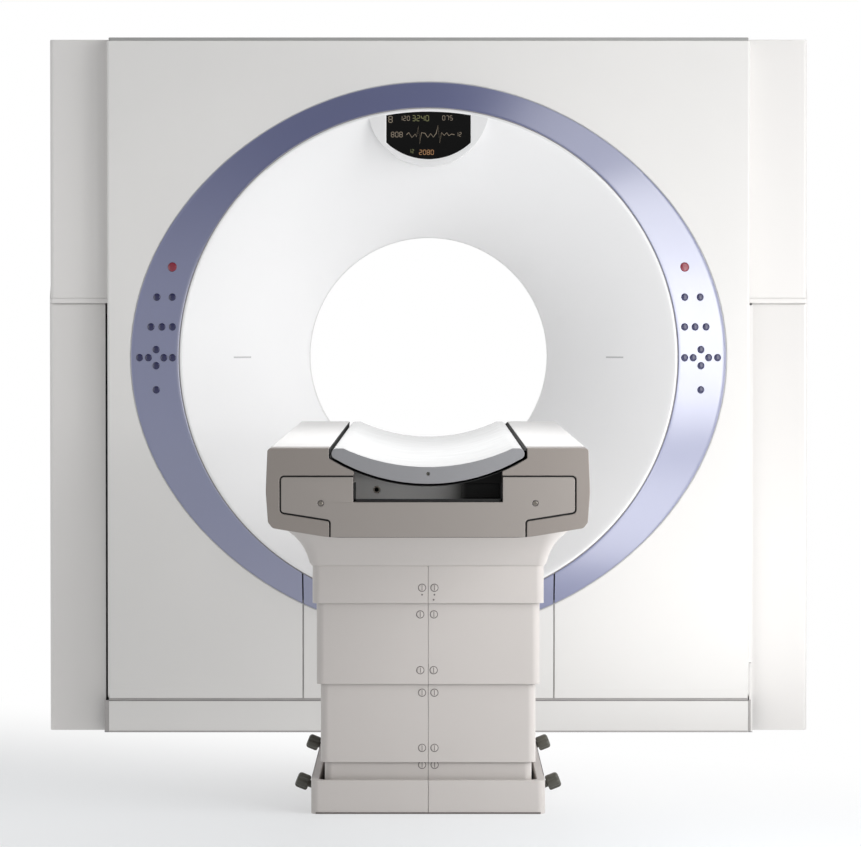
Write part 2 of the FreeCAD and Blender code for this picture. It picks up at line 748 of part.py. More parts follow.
def kick_panels():
    """The two panels that close the gap under the housing, front and rear."""
    front = box(-KICK_HALF_W, KICK_HALF_W, -HOUSING_HALF_D, -HOUSING_HALF_D + KICK_T, 0, KICK_TOP)
    return Part.makeCompound([front, front.mirror(Vector(), ALONG_Y)])


# ---- tilting frame and rotor


def tilt_frame():
    """Side plates with the trunnions, beams, and the stator plate with the rotor's bearing."""
    plate_out = HOUSING_HALF_W - COVER_WALL
    plate_in = plate_out - SIDE_PLATE_T
    low = HOUSING_BOTTOM + COVER_WALL
    high = HOUSING_TOP - COVER_WALL
    plate = box(plate_in, plate_out, -FRAME_HALF_D, FRAME_HALF_D, low, high)
    pad = tilt_disc(TRUNNION_PAD_R, plate_out, plate_out + TRUNNION_PAD_T)
    trunnion = tilt_disc(TRUNNION_R, plate_out, TRUNNION_END)
    side = plate.fuse([pad, trunnion])
    half_d = FRAME_HALF_D
    bottom = box(-plate_in, plate_in, -half_d, half_d, low, low + FRAME_BEAM_H)
    top = box(-plate_in, plate_in, -half_d / 2, half_d, high - FRAME_BEAM_H, high)
    stator = box(-plate_in, plate_in, STATOR_Y, STATOR_Y + STATOR_T, low, high)
    stator = stator.cut(disc(STATOR_R, 0, FAR))
    sleeve = ring(BEARING_R, STATOR_R, STATOR_Y - BEARING_D, STATOR_Y)
    return side.fuse([mirrored(side), bottom, top, stator, sleeve]).removeSplitter()


def rotor_drum():
    """The turning drum: hub on the bearing, disc, and the outer rim open to the front."""
    hub_in = BEARING_R + BEARING_GAP
    face = STATOR_Y - BEARING_D
    hub = ring(hub_in + ROTOR_HUB_W, hub_in, face, STATOR_Y - ROTOR_STEP)
    wall = ring(ROTOR_R, hub_in, face, face + ROTOR_DISC_T)
    rim = ring(ROTOR_R, ROTOR_R - ROTOR_RIM_T, face - ROTOR_RIM_D, face)
    return wall.fuse([hub, rim]).removeSplitter()


def xray_tube():
    """The tube's round housing on the rotor's disc, with the collimator below it."""
    face = STATOR_Y - BEARING_D
    centre = Vector(0, face - TUBE_D, ISO_Z + TUBE_Z)
    housing = Part.makeCylinder(TUBE_R, TUBE_D, centre, ALONG_Y)
    collimator = box(
        -COLLIMATOR_HALF_W,
        COLLIMATOR_HALF_W,
        face - TUBE_D / 2 - COLLIMATOR_D,
        face - TUBE_D / 2,
        ISO_Z + COLLIMATOR_LOW,
        ISO_Z + TUBE_Z,
    )
    return housing.fuse(collimator).removeSplitter()


def detector_arc():
    """The curved detector, opposite the tube on the rotor's disc."""
    face = STATOR_Y - BEARING_D
    half = math.radians(DETECTOR_HALF_ANGLE)
    reach = DETECTOR_OUT_R * 1.5
    wedge = [(0, ISO_Z, 0), (-reach * math.sin(half), ISO_Z - reach * math.cos(half), 0)]
    wedge.append((reach * math.sin(half), ISO_Z - reach * math.cos(half), 0))
    band = ring(DETECTOR_OUT_R, DETECTOR_IN_R, face - DETECTOR_D, face)
    return band.common(slab(at_front, wedge, face - DETECTOR_D, face))


# ---- patient table


def trough_block(inset, y0, y1):
    """The table body's section, moved in by inset, between two cross planes."""
    half_w = TROUGH_HALF_W - inset
    low = TROUGH_BOTTOM + inset
    top = TROUGH_TOP - inset
    right = [(half_w - u, low + v, r) for u, v, r in TROUGH_CORNERS]
    right.append((half_w - TROUGH_LEAN, top, TROUGH_TOP_R - inset))
    left = [(-u, v, r) for u, v, r in reversed(right)]
    return slab(at_front, right + left, y0, y1)


def board_cylinder(radius, y0, y1):
    """A cylinder on the curve of the tabletop's underside."""
    return Part.makeCylinder(radius, y1 - y0, Vector(0, y0, BOARD_CENTRE_Z), ALONG_Y)


def board_channel(grow, y0, y1):
    """The channel in which the tabletop slides, open at the top."""
    half_w = BOARD_HALF_W + grow
    slot = box(-half_w, half_w, y0, y1, RECESS_FLOOR, TROUGH_TOP + 1)
    return slot.common(board_cylinder(BOARD_UNDER_R + grow, y0, y1))


def table_board():
    """The tabletop: a curved board with rounded, thickened edges and a hollow top."""
    y = TABLE_FRONT
    edge_x = BOARD_HALF_W - BOARD_TIP_LOW
    edge_z = BOARD_CENTRE_Z - math.sqrt(BOARD_UNDER_R**2 - edge_x**2)
    tip_x = BOARD_HALF_W - BOARD_TIP_TOP
    right = [
        (Vector(edge_x, y, edge_z), Vector(BOARD_HALF_W, y, (edge_z + BOARD_EDGE_Z) / 2)),
        (Vector(tip_x, y, BOARD_EDGE_Z), Vector(BOARD_HOLLOW_HALF_W + BOARD_RIM_W, y, BOARD_EDGE_Z)),
        (Vector(BOARD_HOLLOW_HALF_W, y, BOARD_HOLLOW_EDGE_Z), None),
    ]
    (low, tip), (flat_out, flat_in), (hollow, _) = right
    flip = [Vector(-p.x, p.y, p.z) for p in (low, tip, flat_out, flat_in, hollow)]
    under = Vector(0, y, BOARD_CENTRE_Z - BOARD_UNDER_R)
    edges = [
        Part.Arc(flip[0], under, low).toShape(),
        Part.Arc(low, tip, flat_out).toShape(),
        Part.LineSegment(flat_out, flat_in).toShape(),
        Part.LineSegment(flat_in, hollow).toShape(),
        Part.Arc(hollow, Vector(0, y, BOARD_HOLLOW_Z), flip[4]).toShape(),
        Part.LineSegment(flip[4], flip[3]).toShape(),
        Part.LineSegment(flip[3], flip[2]).toShape(),
        Part.Arc(flip[2], flip[1], flip[0]).toShape(),
    ]
    board = Part.Face(Part.Wire(edges)).extrude(Vector(0, TABLE_REAR - TABLE_FRONT, 0))
    hole = Part.makeCylinder(BOARD_HOLE_R, BOARD_HOLE_D + 1, Vector(0, y - 1, BOARD_HOLE_Z), ALONG_Y)
    return board.cut(hole)


def table_trough():
    """The hollow table body with the channel and the two runners for the tabletop."""
    front = TABLE_FRONT + CAP_D
    wall = TROUGH_WALL
    body = trough_block(0, front, TABLE_REAR)
    cavity = trough_block(wall, front + wall, TABLE_REAR - wall)
    cavity = cavity.cut(board_cylinder(BOARD_UNDER_R + BOARD_GAP + wall, front, TABLE_REAR))
    body = body.cut([cavity, board_channel(BOARD_GAP, front - 1, TABLE_REAR + 1)])
    runner_low = BOARD_CENTRE_Z - math.sqrt((BOARD_UNDER_R + BOARD_GAP + wall / 2) ** 2 - RUNNER_X**2)
    runner = box(RUNNER_X - RUNNER_W / 2, RUNNER_X + RUNNER_W / 2, front, TABLE_REAR, runner_low, TROUGH_TOP)
    runner = runner.cut(board_cylinder(BOARD_UNDER_R + RUNNER_GAP, front - 1, TABLE_REAR + 1))
    socket = Part.makeCylinder(SOCKET_R, 2 * wall, Vector(SOCKET_X, front - 1, SOCKET_Z), ALONG_Y)
    hatch_low, hatch_high = RECESS_FLOOR + HATCH_LOW, RECESS_FLOOR + HATCH_HIGH
    hatch = box(HATCH_IN, HATCH_OUT, front - 1, front + 2 * wall, hatch_low, hatch_high)
    return body.fuse([runner, mirrored(runner)]).cut([socket, hatch]).removeSplitter()


def panel_block(grow, y0, y1):
    """The end panel: two wings and a neck round the recess under the tabletop."""
    inner, floor = RECESS_HALF_W, RECESS_FLOOR
    right = [
        (PANEL_NECK + grow, TROUGH_BOTTOM - grow, 0),
        (PANEL_NECK + grow, PANEL_NECK_Z - grow, PANEL_R - grow),
        (PANEL_WING + grow, PANEL_WING_LOW - grow, PANEL_R + grow),
        (PANEL_WING + grow, PANEL_TOP + grow, PANEL_R + grow),
        (inner - grow, PANEL_TOP + grow, 0),
        (inner - grow, floor + grow, 0),
    ]
    left = [(-u, v, r) for u, v, r in reversed(right)]
    return slab(at_front, right + left, y0, y1)


def end_panel():
    panel = panel_block(0, TABLE_FRONT, TABLE_FRONT + PANEL_T)
    holes = [
        Part.makeCylinder(SCREW_R, PANEL_T + 2 * PAST, Vector(x, TABLE_FRONT - PAST, SCREW_Z), ALONG_Y)
        for x in (-SCREW_X, SCREW_X)
    ]
    return panel.cut(holes)


def table_end_cap():
    """The shroud on the table's front end, with the recess under the tabletop."""
    rear = TABLE_FRONT + CAP_D
    wall = TROUGH_WALL
    recess = box(-RECESS_HALF_W, RECESS_HALF_W, TABLE_FRONT - 1, rear + 1, RECESS_FLOOR, TROUGH_TOP)
    recess = recess.cut(board_cylinder(BOARD_UNDER_R, TABLE_FRONT - 1, rear + 1))
    jacket = box(
        -RECESS_HALF_W - wall, RECESS_HALF_W + wall, TABLE_FRONT, rear, RECESS_FLOOR - wall, TROUGH_TOP
    )
    jacket = jacket.fuse(board_channel(BOARD_GAP + wall, TABLE_FRONT, rear))
    hollow = trough_block(wall, TABLE_FRONT + CAP_FRONT_WALL, rear + 1).cut(jacket)
    body = trough_block(0, TABLE_FRONT, rear)
    rebate = panel_block(PANEL_GAP, TABLE_FRONT - 1, TABLE_FRONT + PANEL_T)
    channel = board_channel(BOARD_GAP, TABLE_FRONT - 1, rear + 1)
    return body.cut([hollow, recess, channel, rebate]).removeSplitter()


# ---- pedestal


def plan_block(inset, radius, z0, z1):
    """The pedestal's plan, moved in by inset (out where it is negative), between two levels."""
    half_w = PEDESTAL_HALF_W - inset
    front, rear = PEDESTAL_FRONT + inset, PEDESTAL_REAR - inset
    return slab(at_plan, rectangle(half_w, front, rear, radius), z0, z1)


def halves(shape):
    """Left and right halves with the seam between them."""
    return shape.cut(box(-HALVES_GAP / 2, HALVES_GAP / 2, -FAR, 0, -1, FAR))


def pedestal_stage(name):
    """One telescoping cover with the lip that guides it in the cover outside it."""
    low, high = STAGE_HEIGHTS[name]
    step = list(STAGE_HEIGHTS).index(name)
    inset = step * STAGE_STEP
    radius = PEDESTAL_CORNER_R
    stage = plan_block(inset, radius, low, high)
    if step:
        lip = inset - STAGE_STEP + STAGE_WALL + STAGE_GAP
        stage = stage.fuse(plan_block(lip, radius - STAGE_WALL, high - STAGE_LIP_H, high))
    stage = stage.cut(plan_block(inset + STAGE_WALL, radius - STAGE_WALL, low - 1, high + 1))
    return halves(stage)


def collar_wire(spread, inset, z):
    half_w = PEDESTAL_HALF_W + spread - inset
    radius = PEDESTAL_CORNER_R + COLLAR_CORNER * spread - inset
    front, rear = PEDESTAL_FRONT - spread + inset, PEDESTAL_REAR + spread - inset
    return outline(at_plan, rectangle(half_w, front, rear, radius), z)


def collar_form(inset):
    """The flared collar from the top cover up to the trough, as a solid moved in by inset."""
    base = STAGE_HEIGHTS["pedestal_cover_top"][1]
    start, end = math.radians(COLLAR_START), math.radians(COLLAR_END)
    levels = [(COLLAR_LEDGE, base)]
    for i in range(COLLAR_BANDS + 1):
        a = start + (end - start) * i / COLLAR_BANDS
        spread = COLLAR_FOOT + COLLAR_R * (math.cos(start) - math.cos(a))
        levels.append((spread, base + COLLAR_FOOT + COLLAR_R * (math.sin(a) - math.sin(start))))
    levels.append((levels[-1][0], TROUGH_BOTTOM + COLLAR_BAND))
    return Part.makeLoft([collar_wire(spread, inset, z) for spread, z in levels], True, True)


def pedestal_collar():
    base = STAGE_HEIGHTS["pedestal_cover_top"][1]
    collar = collar_form(0).cut(collar_form(STAGE_WALL + COLLAR_LEDGE / 2))
    mouth = plan_block(STAGE_WALL, PEDESTAL_CORNER_R - STAGE_WALL, base - 1, base + 1)
    return collar.cut([trough_block(0, TABLE_FRONT, TABLE_REAR), mouth])


def pedestal_cover_top():
    return Part.makeCompound([pedestal_stage("pedestal_cover_top"), pedestal_collar()])


def pedestal_plinth():
    """The base skirt on the floor, its thick walls holding the foot switches."""
    plinth = plan_block(-PLINTH_GROW, PEDESTAL_CORNER_R, 0, PLINTH_H)
    well = plan_block(PLINTH_WALL - PLINTH_GROW, PEDESTAL_CORNER_R - STAGE_WALL, -1, PLINTH_H + 1)
    return halves(plinth.cut(well)).cut([switch_seat(x, y) for x, y in SWITCHES.values()])


def square_tube(half, wall, z0, z1):
    """An upright square tube on the lift's axis."""
    outer = rectangle(half, COLUMN_Y - half, COLUMN_Y + half, COLUMN_R)
    inner = rectangle(half - wall, COLUMN_Y - half + wall, COLUMN_Y + half - wall, COLUMN_R - wall)
    return slab(at_plan, outer, z0, z1).cut(slab(at_plan, inner, z0 - 1, z1 + 1))


def table_base_frame():
    """The floor plate inside the plinth, with its anchor holes, and the lift's fixed post."""
    inset = PLINTH_WALL - PLINTH_GROW + STAGE_GAP
    plate = plan_block(inset, PEDESTAL_CORNER_R - STAGE_WALL, 0, FLOOR_PLATE_T)
    post = square_tube(COLUMN_HALF, COLUMN_WALL, FLOOR_PLATE_T, POST_TOP)
    holes = [
        Part.makeCylinder(TABLE_ANCHOR_R, FLOOR_PLATE_T + 2 * PAST, Vector(x, COLUMN_Y + y, -PAST))
        for x in (-TABLE_ANCHOR_X, TABLE_ANCHOR_X)
        for y in (-TABLE_ANCHOR_REACH, TABLE_ANCHOR_REACH)
    ]
    return plate.fuse(post).cut(holes).removeSplitter()


def lift_column_middle():
    half = COLUMN_HALF - COLUMN_WALL - STAGE_GAP
    return square_tube(half, COLUMN_WALL, *MIDDLE_COLUMN)


def lift_column():
    """The column's top stage, with the flange that carries the trough."""
    half = COLUMN_HALF - 2 * (COLUMN_WALL + STAGE_GAP)
    tube = square_tube(half, COLUMN_WALL, INNER_COLUMN_BOTTOM, TROUGH_BOTTOM)
    low = TROUGH_BOTTOM - COLUMN_FLANGE_T
    plan = rectangle(COLUMN_HALF, COLUMN_Y - 2 * COLUMN_HALF, COLUMN_Y + 2 * COLUMN_HALF, COLUMN_R)
    return tube.fuse(slab(at_plan, plan, low, TROUGH_BOTTOM)).removeSplitter()


# ---- foot switches

SWITCHES = {
    "foot_switch_front_left": (-1, PEDESTAL_FRONT + SWITCH_REACH),
    "foot_switch_front_right": (1, PEDESTAL_FRONT + SWITCH_REACH),
    "foot_switch_rear_left": (-1, PEDESTAL_REAR - REAR_SWITCH_REACH),
    "foot_switch_rear_right": (1, PEDESTAL_REAR - REAR_SWITCH_REACH),
}


def switch_axis(side):
    """Out of the plinth's wall and up."""
    tilt = math.radians(SWITCH_ANGLE)
    return Vector(side * math.cos(tilt), 0, math.sin(tilt))


def switch_mouth(side, y):
    """Where a foot switch's axis leaves the plinth's wall."""
    return Vector(side * (PEDESTAL_HALF_W + PLINTH_GROW), y, SWITCH_WALL_Z)


def switch_rod(side, y, radius, start, end):
    """A cylinder on a foot switch's axis, from start to end outside the wall."""
    axis = switch_axis(side)
    return Part.makeCylinder(radius, end - start, switch_mouth(side, y) + axis * start, axis)


def switch_seat(side, y):
    """The stem's bore and the scallop that lets the knob travel, as a tool to cut with."""
    knob = SWITCH_OFFSET - SWITCH_L / 2
    bore = switch_rod(side, y, SWITCH_STEM_R + SWITCH_GAP, -2 * PLINTH_WALL, PLINTH_WALL)
    deepest = knob - SWITCH_TRAVEL - SWITCH_ROOM
    scallop = switch_rod(side, y, SWITCH_R + SWITCH_ROOM, deepest, knob + SWITCH_L)
    return bore.fuse(scallop)


def foot_switch(side, y):
    """A black knob on its stem."""
    start = SWITCH_OFFSET - SWITCH_L / 2
    knob = switch_rod(side, y, SWITCH_R, start, start + SWITCH_L)
    stem = switch_rod(side, y, SWITCH_STEM_R, -SWITCH_STEM_SEAT, start + 1)
    crown = max((e for e in knob.Edges if type(e.Curve) is Part.Circle), key=lambda e: e.BoundBox.ZMax)
    return knob.makeChamfer(SWITCH_EDGE, [crown]).fuse(stem).removeSplitter()


def pieces():
    """Every node's name and shape."""
    made = {
        "gantry_base_frame": gantry_base_frame(),
        "kick_panels": kick_panels(),
        "stand_cover_right": stand_cover(),
        "stand_cover_left": mirrored(stand_cover()),
        "tilt_frame": tilt_frame(),
        "front_cover": front_cover(),
        "service_panel": service_panel(),
        "control_ring": control_ring(),
        "front_funnel": front_funnel(),
        "display_screen": display_screen(),
        "scan_window": scan_window(),
        "rear_cover": rear_cover(),
        "top_cover": top_cover(),
        "side_cover_right": side_cover(),
        "side_cover_left": mirrored(side_cover()),
        "rotor_drum": rotor_drum(),
        "xray_tube": xray_tube(),
        "detector_arc": detector_arc(),
        "table_board": table_board(),
        "table_trough": table_trough(),
        "table_end_cap": table_end_cap(),
        "end_panel": end_panel(),
        "pedestal_cover_top": pedestal_cover_top(),
        "pedestal_plinth": pedestal_plinth(),
        "table_base_frame": table_base_frame(),
        "lift_column_middle": lift_column_middle(),
        "lift_column": lift_column(),
    }
    for name in list(STAGE_HEIGHTS)[1:]:
        made[name] = pedestal_stage(name)
    for name, (side, y) in SWITCHES.items():
        made[name] = foot_switch(side, y)
    for side, word in ((-1, "left"), (1, "right")):
        for name in KEY_SPOTS:
            made[f"key_{word}_{name}"] = key(side, name)
    return made


def main():
    os.makedirs("parts", exist_ok=True)
    for name, shape in pieces().items():
        shape.exportStep(f"parts/{name}.step")


main()
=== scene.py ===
"""The looks of a hospital CT scanner: gantry, patient table and the studio round them.

Metres, in the CAD model's frame: X right, Y away from the viewer, Z up, the floor at Z 0.
"""

import bmesh
import bpy
import json
import math

from mathutils import Matrix, Vector


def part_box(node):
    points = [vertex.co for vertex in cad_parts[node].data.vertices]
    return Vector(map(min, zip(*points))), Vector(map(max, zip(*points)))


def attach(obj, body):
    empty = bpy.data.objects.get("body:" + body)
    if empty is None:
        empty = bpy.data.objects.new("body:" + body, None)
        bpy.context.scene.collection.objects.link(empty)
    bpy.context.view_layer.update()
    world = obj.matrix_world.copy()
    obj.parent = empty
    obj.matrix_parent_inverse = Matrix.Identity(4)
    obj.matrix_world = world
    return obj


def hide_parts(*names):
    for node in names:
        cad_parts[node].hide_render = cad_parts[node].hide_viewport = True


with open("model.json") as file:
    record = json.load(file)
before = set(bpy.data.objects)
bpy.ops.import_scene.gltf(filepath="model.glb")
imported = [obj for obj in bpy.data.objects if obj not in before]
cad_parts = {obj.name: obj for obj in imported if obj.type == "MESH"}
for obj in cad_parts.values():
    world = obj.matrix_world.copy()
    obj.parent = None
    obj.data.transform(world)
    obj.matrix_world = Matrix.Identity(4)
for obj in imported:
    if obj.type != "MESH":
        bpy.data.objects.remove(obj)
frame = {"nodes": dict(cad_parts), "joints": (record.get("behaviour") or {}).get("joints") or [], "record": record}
record = frame["record"]
BODY_OF = {node: body for body, nodes in record["behaviour"]["bodies"].items() for node in nodes}
SLOT_OF = {part["node"]: part["material_slot"] for part in record["subparts"]}


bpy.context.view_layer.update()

# gantry
ISO = Vector((0, 0, 1.075))  # where the bore's axis crosses the tilt axis
FRONT_Y = -0.38
SEAM_X = 0.3595  # the middle of the seam beside the service panel
SEAM_GAP = 0.004

# control ring: an oval edge on the front, a round rim nearer the viewer
RING_HALF_W = 0.852
RING_HALF_H = 0.787
RING_FLAT = 0.0155
RIM_R = 0.713
RING_RISE = 0.045
RING_STEPS = 288
KEY_R = 0.0103
STOP_KEY_R = 0.0133
KEY_GAP = 0.0005
KEY_SETBACK = 0.00225  # from the ring's face to the middle of a key's solid
KEY_HOLE_REACH = (-0.012, 0.006)  # from under the ring's face to above it

# front funnel and its display pod
BORE_R = 0.35
THROAT_HALF = 0.06
THROAT_EDGE_R = 0.012
FUNNEL_ANGLE = math.radians(34)
FUNNEL_WALL = 0.004
MOUTH_R = 0.703
MOUTH_DEPTH = RING_RISE - FRONT_Y  # from the tilt axis to the plane of the ring's rim
LIP_R = 0.71
LIP_SETBACK = 0.0018
FLANGE_R = 0.715
FLANGE_DEPTHS = (0.025, 0.029)  # behind the mouth
THROAT_STEPS = 5
FUNNEL_STEPS = 256
FUNNEL_ROWS = 40
BACK_ROW_STEP = 4  # the wall's back has one row for this many of its face
SLOT_START_R = 0.513
SLOT_LENGTH = 0.048
SLOT_H = 0.004
SLOT_SETBACK = 0.0016
SLOT_WINDOW_PLAY = (0.0003, 0.0002)  # at the slot's ends, above and below
SLOT_WINDOW_THICKNESS = 0.0015
SLOT_WINDOW_STEPS = 12
POD_R = 0.174
POD_Z = 0.721
POD_EDGE_R = 0.7065
POD_TIP_SHARE = 0.9995  # how near the pod's sides run to its two tips
POD_COLUMNS = 96
POD_ROWS = 10
POD_BELOW_SCREEN = 0.03
SCREEN_HALF_W = 0.12
SCREEN_TOP_R = 0.701
SCREEN_SIDE_Z = 0.613
SCREEN_LOW_Z = 0.566
SCREEN_Y = -0.4245
SCREEN_STEPS = 24
SCREEN_SEAT = [  # (distance outside the display's outline, y)
    (0.0042, -0.43), (0.0042, -0.4252), (0.0004, -0.4238), (0.0004, -0.4215),
]

# table; depths are behind its front end
TABLE_FRONT = -3.16
TABLE_REAR = -0.761
TROUGH_TOP = 0.902
RECESS_LOW = 0.783
PANEL_DRAWN_IN = 0.0011
BOARD_HALF_W = 0.214
BOARD_UNDER_R = 0.412
BOARD_CENTRE_Z = 1.2345
BOARD_END_DEPTHS = (-0.001, 0.004)
RECESS_BACK_DEPTHS = (0.105, 0.114)
CAP_EDGE_DEPTHS = (0.0025, 0.0095)
RECESS_SHADE_SPAN = (0.046, 0.088)  # painted shade: the recess's back from white to black along X
LINING_RADII = (BOARD_UNDER_R + 0.0055, BOARD_UNDER_R + 0.0045)
LINING_BESIDE = 0.0055  # beside the tabletop
LINING_SHORT = 0.0015  # inside the trough's ends and top
LINING_STEPS = 64
SOCKET_AT = (-0.115, TABLE_FRONT + 0.11, 0.8055)
SOCKET_SECTION = [  # this and the other sections: (radius, height)
    (0.005, -0.006), (0.005, 0.0006), (0.0056, 0.0012), (0.0074, 0.0012), (0.0078, 0.0006),
    (0.0078, -0.006),
]
BOARD_PLUG_AT = (0, TABLE_FRONT, 0.845)
BOARD_PLUG_SECTION = [(0, -0.004), (0.0037, -0.004), (0.0037, -0.0008), (0.003, -0.0012), (0, -0.0012)]
PANEL_SCREWS_AT = [(x, TABLE_FRONT + 0.0002, 0.7795) for x in (-0.238, 0.238)]
SCREW_SECTION = [
    (0, -0.002), (0.005, -0.002), (0.005, -0.0004), (0.0042, 0.0003), (0.002, 0.0004),
    (0.0018, -0.001), (0, -0.001),
]
SCREW_CUP_SECTION = [
    (0.0051, -0.002), (0.0051, -0.0008), (0.0068, -0.0001), (0.0072, -0.0001), (0.0072, -0.002),
]

# pedestal fronts and their quarter-turn plugs: cover, front plane, rows of (z, left x, right x)
PLUG_R = 0.0098
PLUG_SECTION = [
    (0, -0.0008), (0.0078, -0.0008), (0.0078, 0.0003), (0.0073, 0.0009), (0.006, 0.0011),
    (0, 0.0011),
]
COLLAR_SECTION = [(0.008, -0.0006), (0.008, 0.0002), (PLUG_R, 0.0002), (PLUG_R, -0.0006)]
PLUG_SLOT_SIZE = (0.0126, 0.0017, 0.0024)
PLUG_ROWS = {
    "pedestal_cover_top": (-2.397, [(0.5434, -0.0146, 0.015)]),
    "pedestal_cover_upper": (-2.3875, [(0.4788, -0.019, 0.0138), (0.3447, -0.0188, 0.0132)]),
    "pedestal_cover_middle": (-2.378, [(0.2897, -0.0146, 0.015), (0.1568, -0.0146, 0.0152)]),
    "pedestal_cover_lower": (-2.3685, [(0.1149, -0.0146, 0.0156)]),
}
DIMPLES = [(-0.0146, 0.5267), (0.015, 0.5267), (0.0132, 0.5147)]  # (x, z) on the top cover
DIMPLE_SECTION = [(0, -0.0004), (0.0022, -0.0004), (0.0022, 0.0002), (0, 0.0002)]

# foot switches: knobs with five flutes, each on a stem that slants out of the plinth
SWITCH_MOUTH_X = 0.281
SWITCH_MOUTH_Z = 0.059
KNOB_SECTION = [
    (0, -0.01), (0.0085, -0.01), (0.0085, 0.008), (0.015, 0.008), (0.018, 0.0098),
    (0.019, 0.013), (0.019, 0.032), (0.0181, 0.0358), (0.0155, 0.0386), (0.011, 0.04),
    (0, 0.04),
]
KNOB_STEPS = 60
FLUTES = 5
FLUTE_DEPTH = 0.2  # share of the radius
FLUTED_ABOVE = 0.0075
FLUTED_OUTSIDE = 0.011

# strips in the joints, and dark strips of painted shade: boxes as ranges of X, of the depth behind a front plane
# and of Z
SEAM_SEALS = [((x - 0.0017, x + 0.0017), (0.0035, 0.0075), (0.099, 0.38)) for x in (-SEAM_X, SEAM_X)]
KICK_SEAL_SPANS = [(-0.9174, -0.9295), (0.9174, 0.924)]
KICK_SEALS = [(span, (0.0006, 0.0026), (0.002, 0.092)) for span in KICK_SEAL_SPANS]
STAND_FILLERS = [
    ((0.9204, 0.9295), (0.006, 0.02), (0.0925, 0.19)),
    ((0.9204, 0.9295), (0.006, 0.009), (0.189, 0.198)),
    ((0.9242, 0.9295), (0.0006, 0.0026), (0.002, 0.0925)),
]
COVER_FILLER = [((0.9185, 0.9293), (0.0045, 0.02), (0.2, 1.225))]
EDGE_TRIM_END = 0.9155
EDGE_TRIM_START = SEAM_X + SEAM_GAP / 2
EDGE_TRIM_SPANS = [
    (-EDGE_TRIM_END, -EDGE_TRIM_START), (EDGE_TRIM_START, EDGE_TRIM_END),
    (SEAM_GAP - EDGE_TRIM_START, EDGE_TRIM_START - SEAM_GAP),
]
EDGE_TRIM = [(span, (0.0002, 0.01), (0.0985, 0.1285)) for span in EDGE_TRIM_SPANS]
UNDER_SEAL = [((-0.917, 0.917), (0.003, 0.0052), (0.091, 0.099))]
# dark strips at the floor in front of the kick panels and the plinth: a painted contact shadow
KICK_CONTACT_SHADE = [((-0.916, 0.916), (-0.001, 0.001), (0.0003, 0.0045))]
PLINTH_CONTACT_SHADE = [((-0.27, 0.27), (-0.0015, 0.004), (0.0003, 0.0042))]
HATCH_LID = [((0.0753, 0.1597), (0.1104, 0.112), (RECESS_LOW + 0.0043, RECESS_LOW + 0.0347))]
RECESS_HALF_W = 0.1648
# near-black strips along the recess's bottom and sides, just inside its mouth: painted shade
RECESS_EDGE_SHADE = [
    ((-RECESS_HALF_W, RECESS_HALF_W), (0.0055, 0.0115), (RECESS_LOW + 0.0002, RECESS_LOW + 0.0057)),
    ((-RECESS_HALF_W, 0.005 - RECESS_HALF_W), (0.0055, 0.0115), (RECESS_LOW + 0.0002, 0.826)),
    ((RECESS_HALF_W - 0.003, RECESS_HALF_W), (0.0055, 0.0115), (RECESS_LOW + 0.0002, 0.826)),
]

# camera: a long lens a little above the middle of the bore
LENS_MM = 179.6
SENSOR_MM = 36
EYE = (0.0057, -12.68, 1.197)
LOOKS_DOWN = 1.447  # degrees

# studio: the world's light at the horizon, overhead and added behind; the floor; the lamps
SKY_LEVEL = 0.49
SKY_TOP = 0.2
SKY_BACK = 0.35
FLOOR_COLOUR = (0.85, 0.88, 0.91, 1)
FLOOR_SIZE = 30
FLOOR_Z = -0.0005
FLOOR_FADE = (-2.7, -0.4)  # painted light: from the floor's own colour to glowing white, along Y + 0.8 X, so the floor is whiter behind the gantry and to the right
FLOOR_FADE_SLANT = 0.8
FLOOR_FADE_LEAST = 0.44
FLOOR_GLOW_LEFT = 0.72
FLOOR_GLOW_RIGHT = 0.8
FLOOR_GLOW_SPAN = (0.1, 1.5)  # from the left glow to the right, along X
SHADES = [(1.06, 0.308, -0.0002), (0.916, 0.3765, -0.0003)]  # dark floor: half width, half depth, z
WHITE = (1, 1, 1, 1)
LAMPS = [  # name, place, aim, size, watts
    ("key_light", (3.7, -3.4, 2.1), (0.0, -0.4, 1.1), (3.0, 4.6), 98),
    ("low_light", (1.4, -1.5, 0.02), (1.4, -1.5, 1.0), (1.9, 1.5), 12),
    ("ring_light", (3.42, -3.6, 1.2), (0.78, -0.4, 1.075), (0.5, 2.2), 8),
    ("high_light", (2.3, -2.6, 5.1), (0.3, -0.4, 1.8), (2.4, 1.8), 14),
    ("left_light", (-4.6, -1.6, 1.3), (0.0, -0.4, 1.1), (2.4, 3.0), 22),
    ("table_light", (1.1, -3.78, 0.95), (0.25, -3.1, 0.78), (0.4, 0.8), 9.8),
    ("top_light", (0.0, -2.4, 1.9), (0.0, -2.4, 0.9), (0.9, 1.5), 12),
]


# ---- finishes


NOISE_SPAN = (0.3, 0.7)  # the noise's values that are spread over a finish's range
SHEEN_FINER = 9  # the sheen's pattern against the colour's
BUMP_STRENGTH = 0.6
BRUSH_SCALE = 300
BRUSH_DEPTH = 0.00003
NEAR_BLACK = (0.006, 0.006, 0.006, 1)


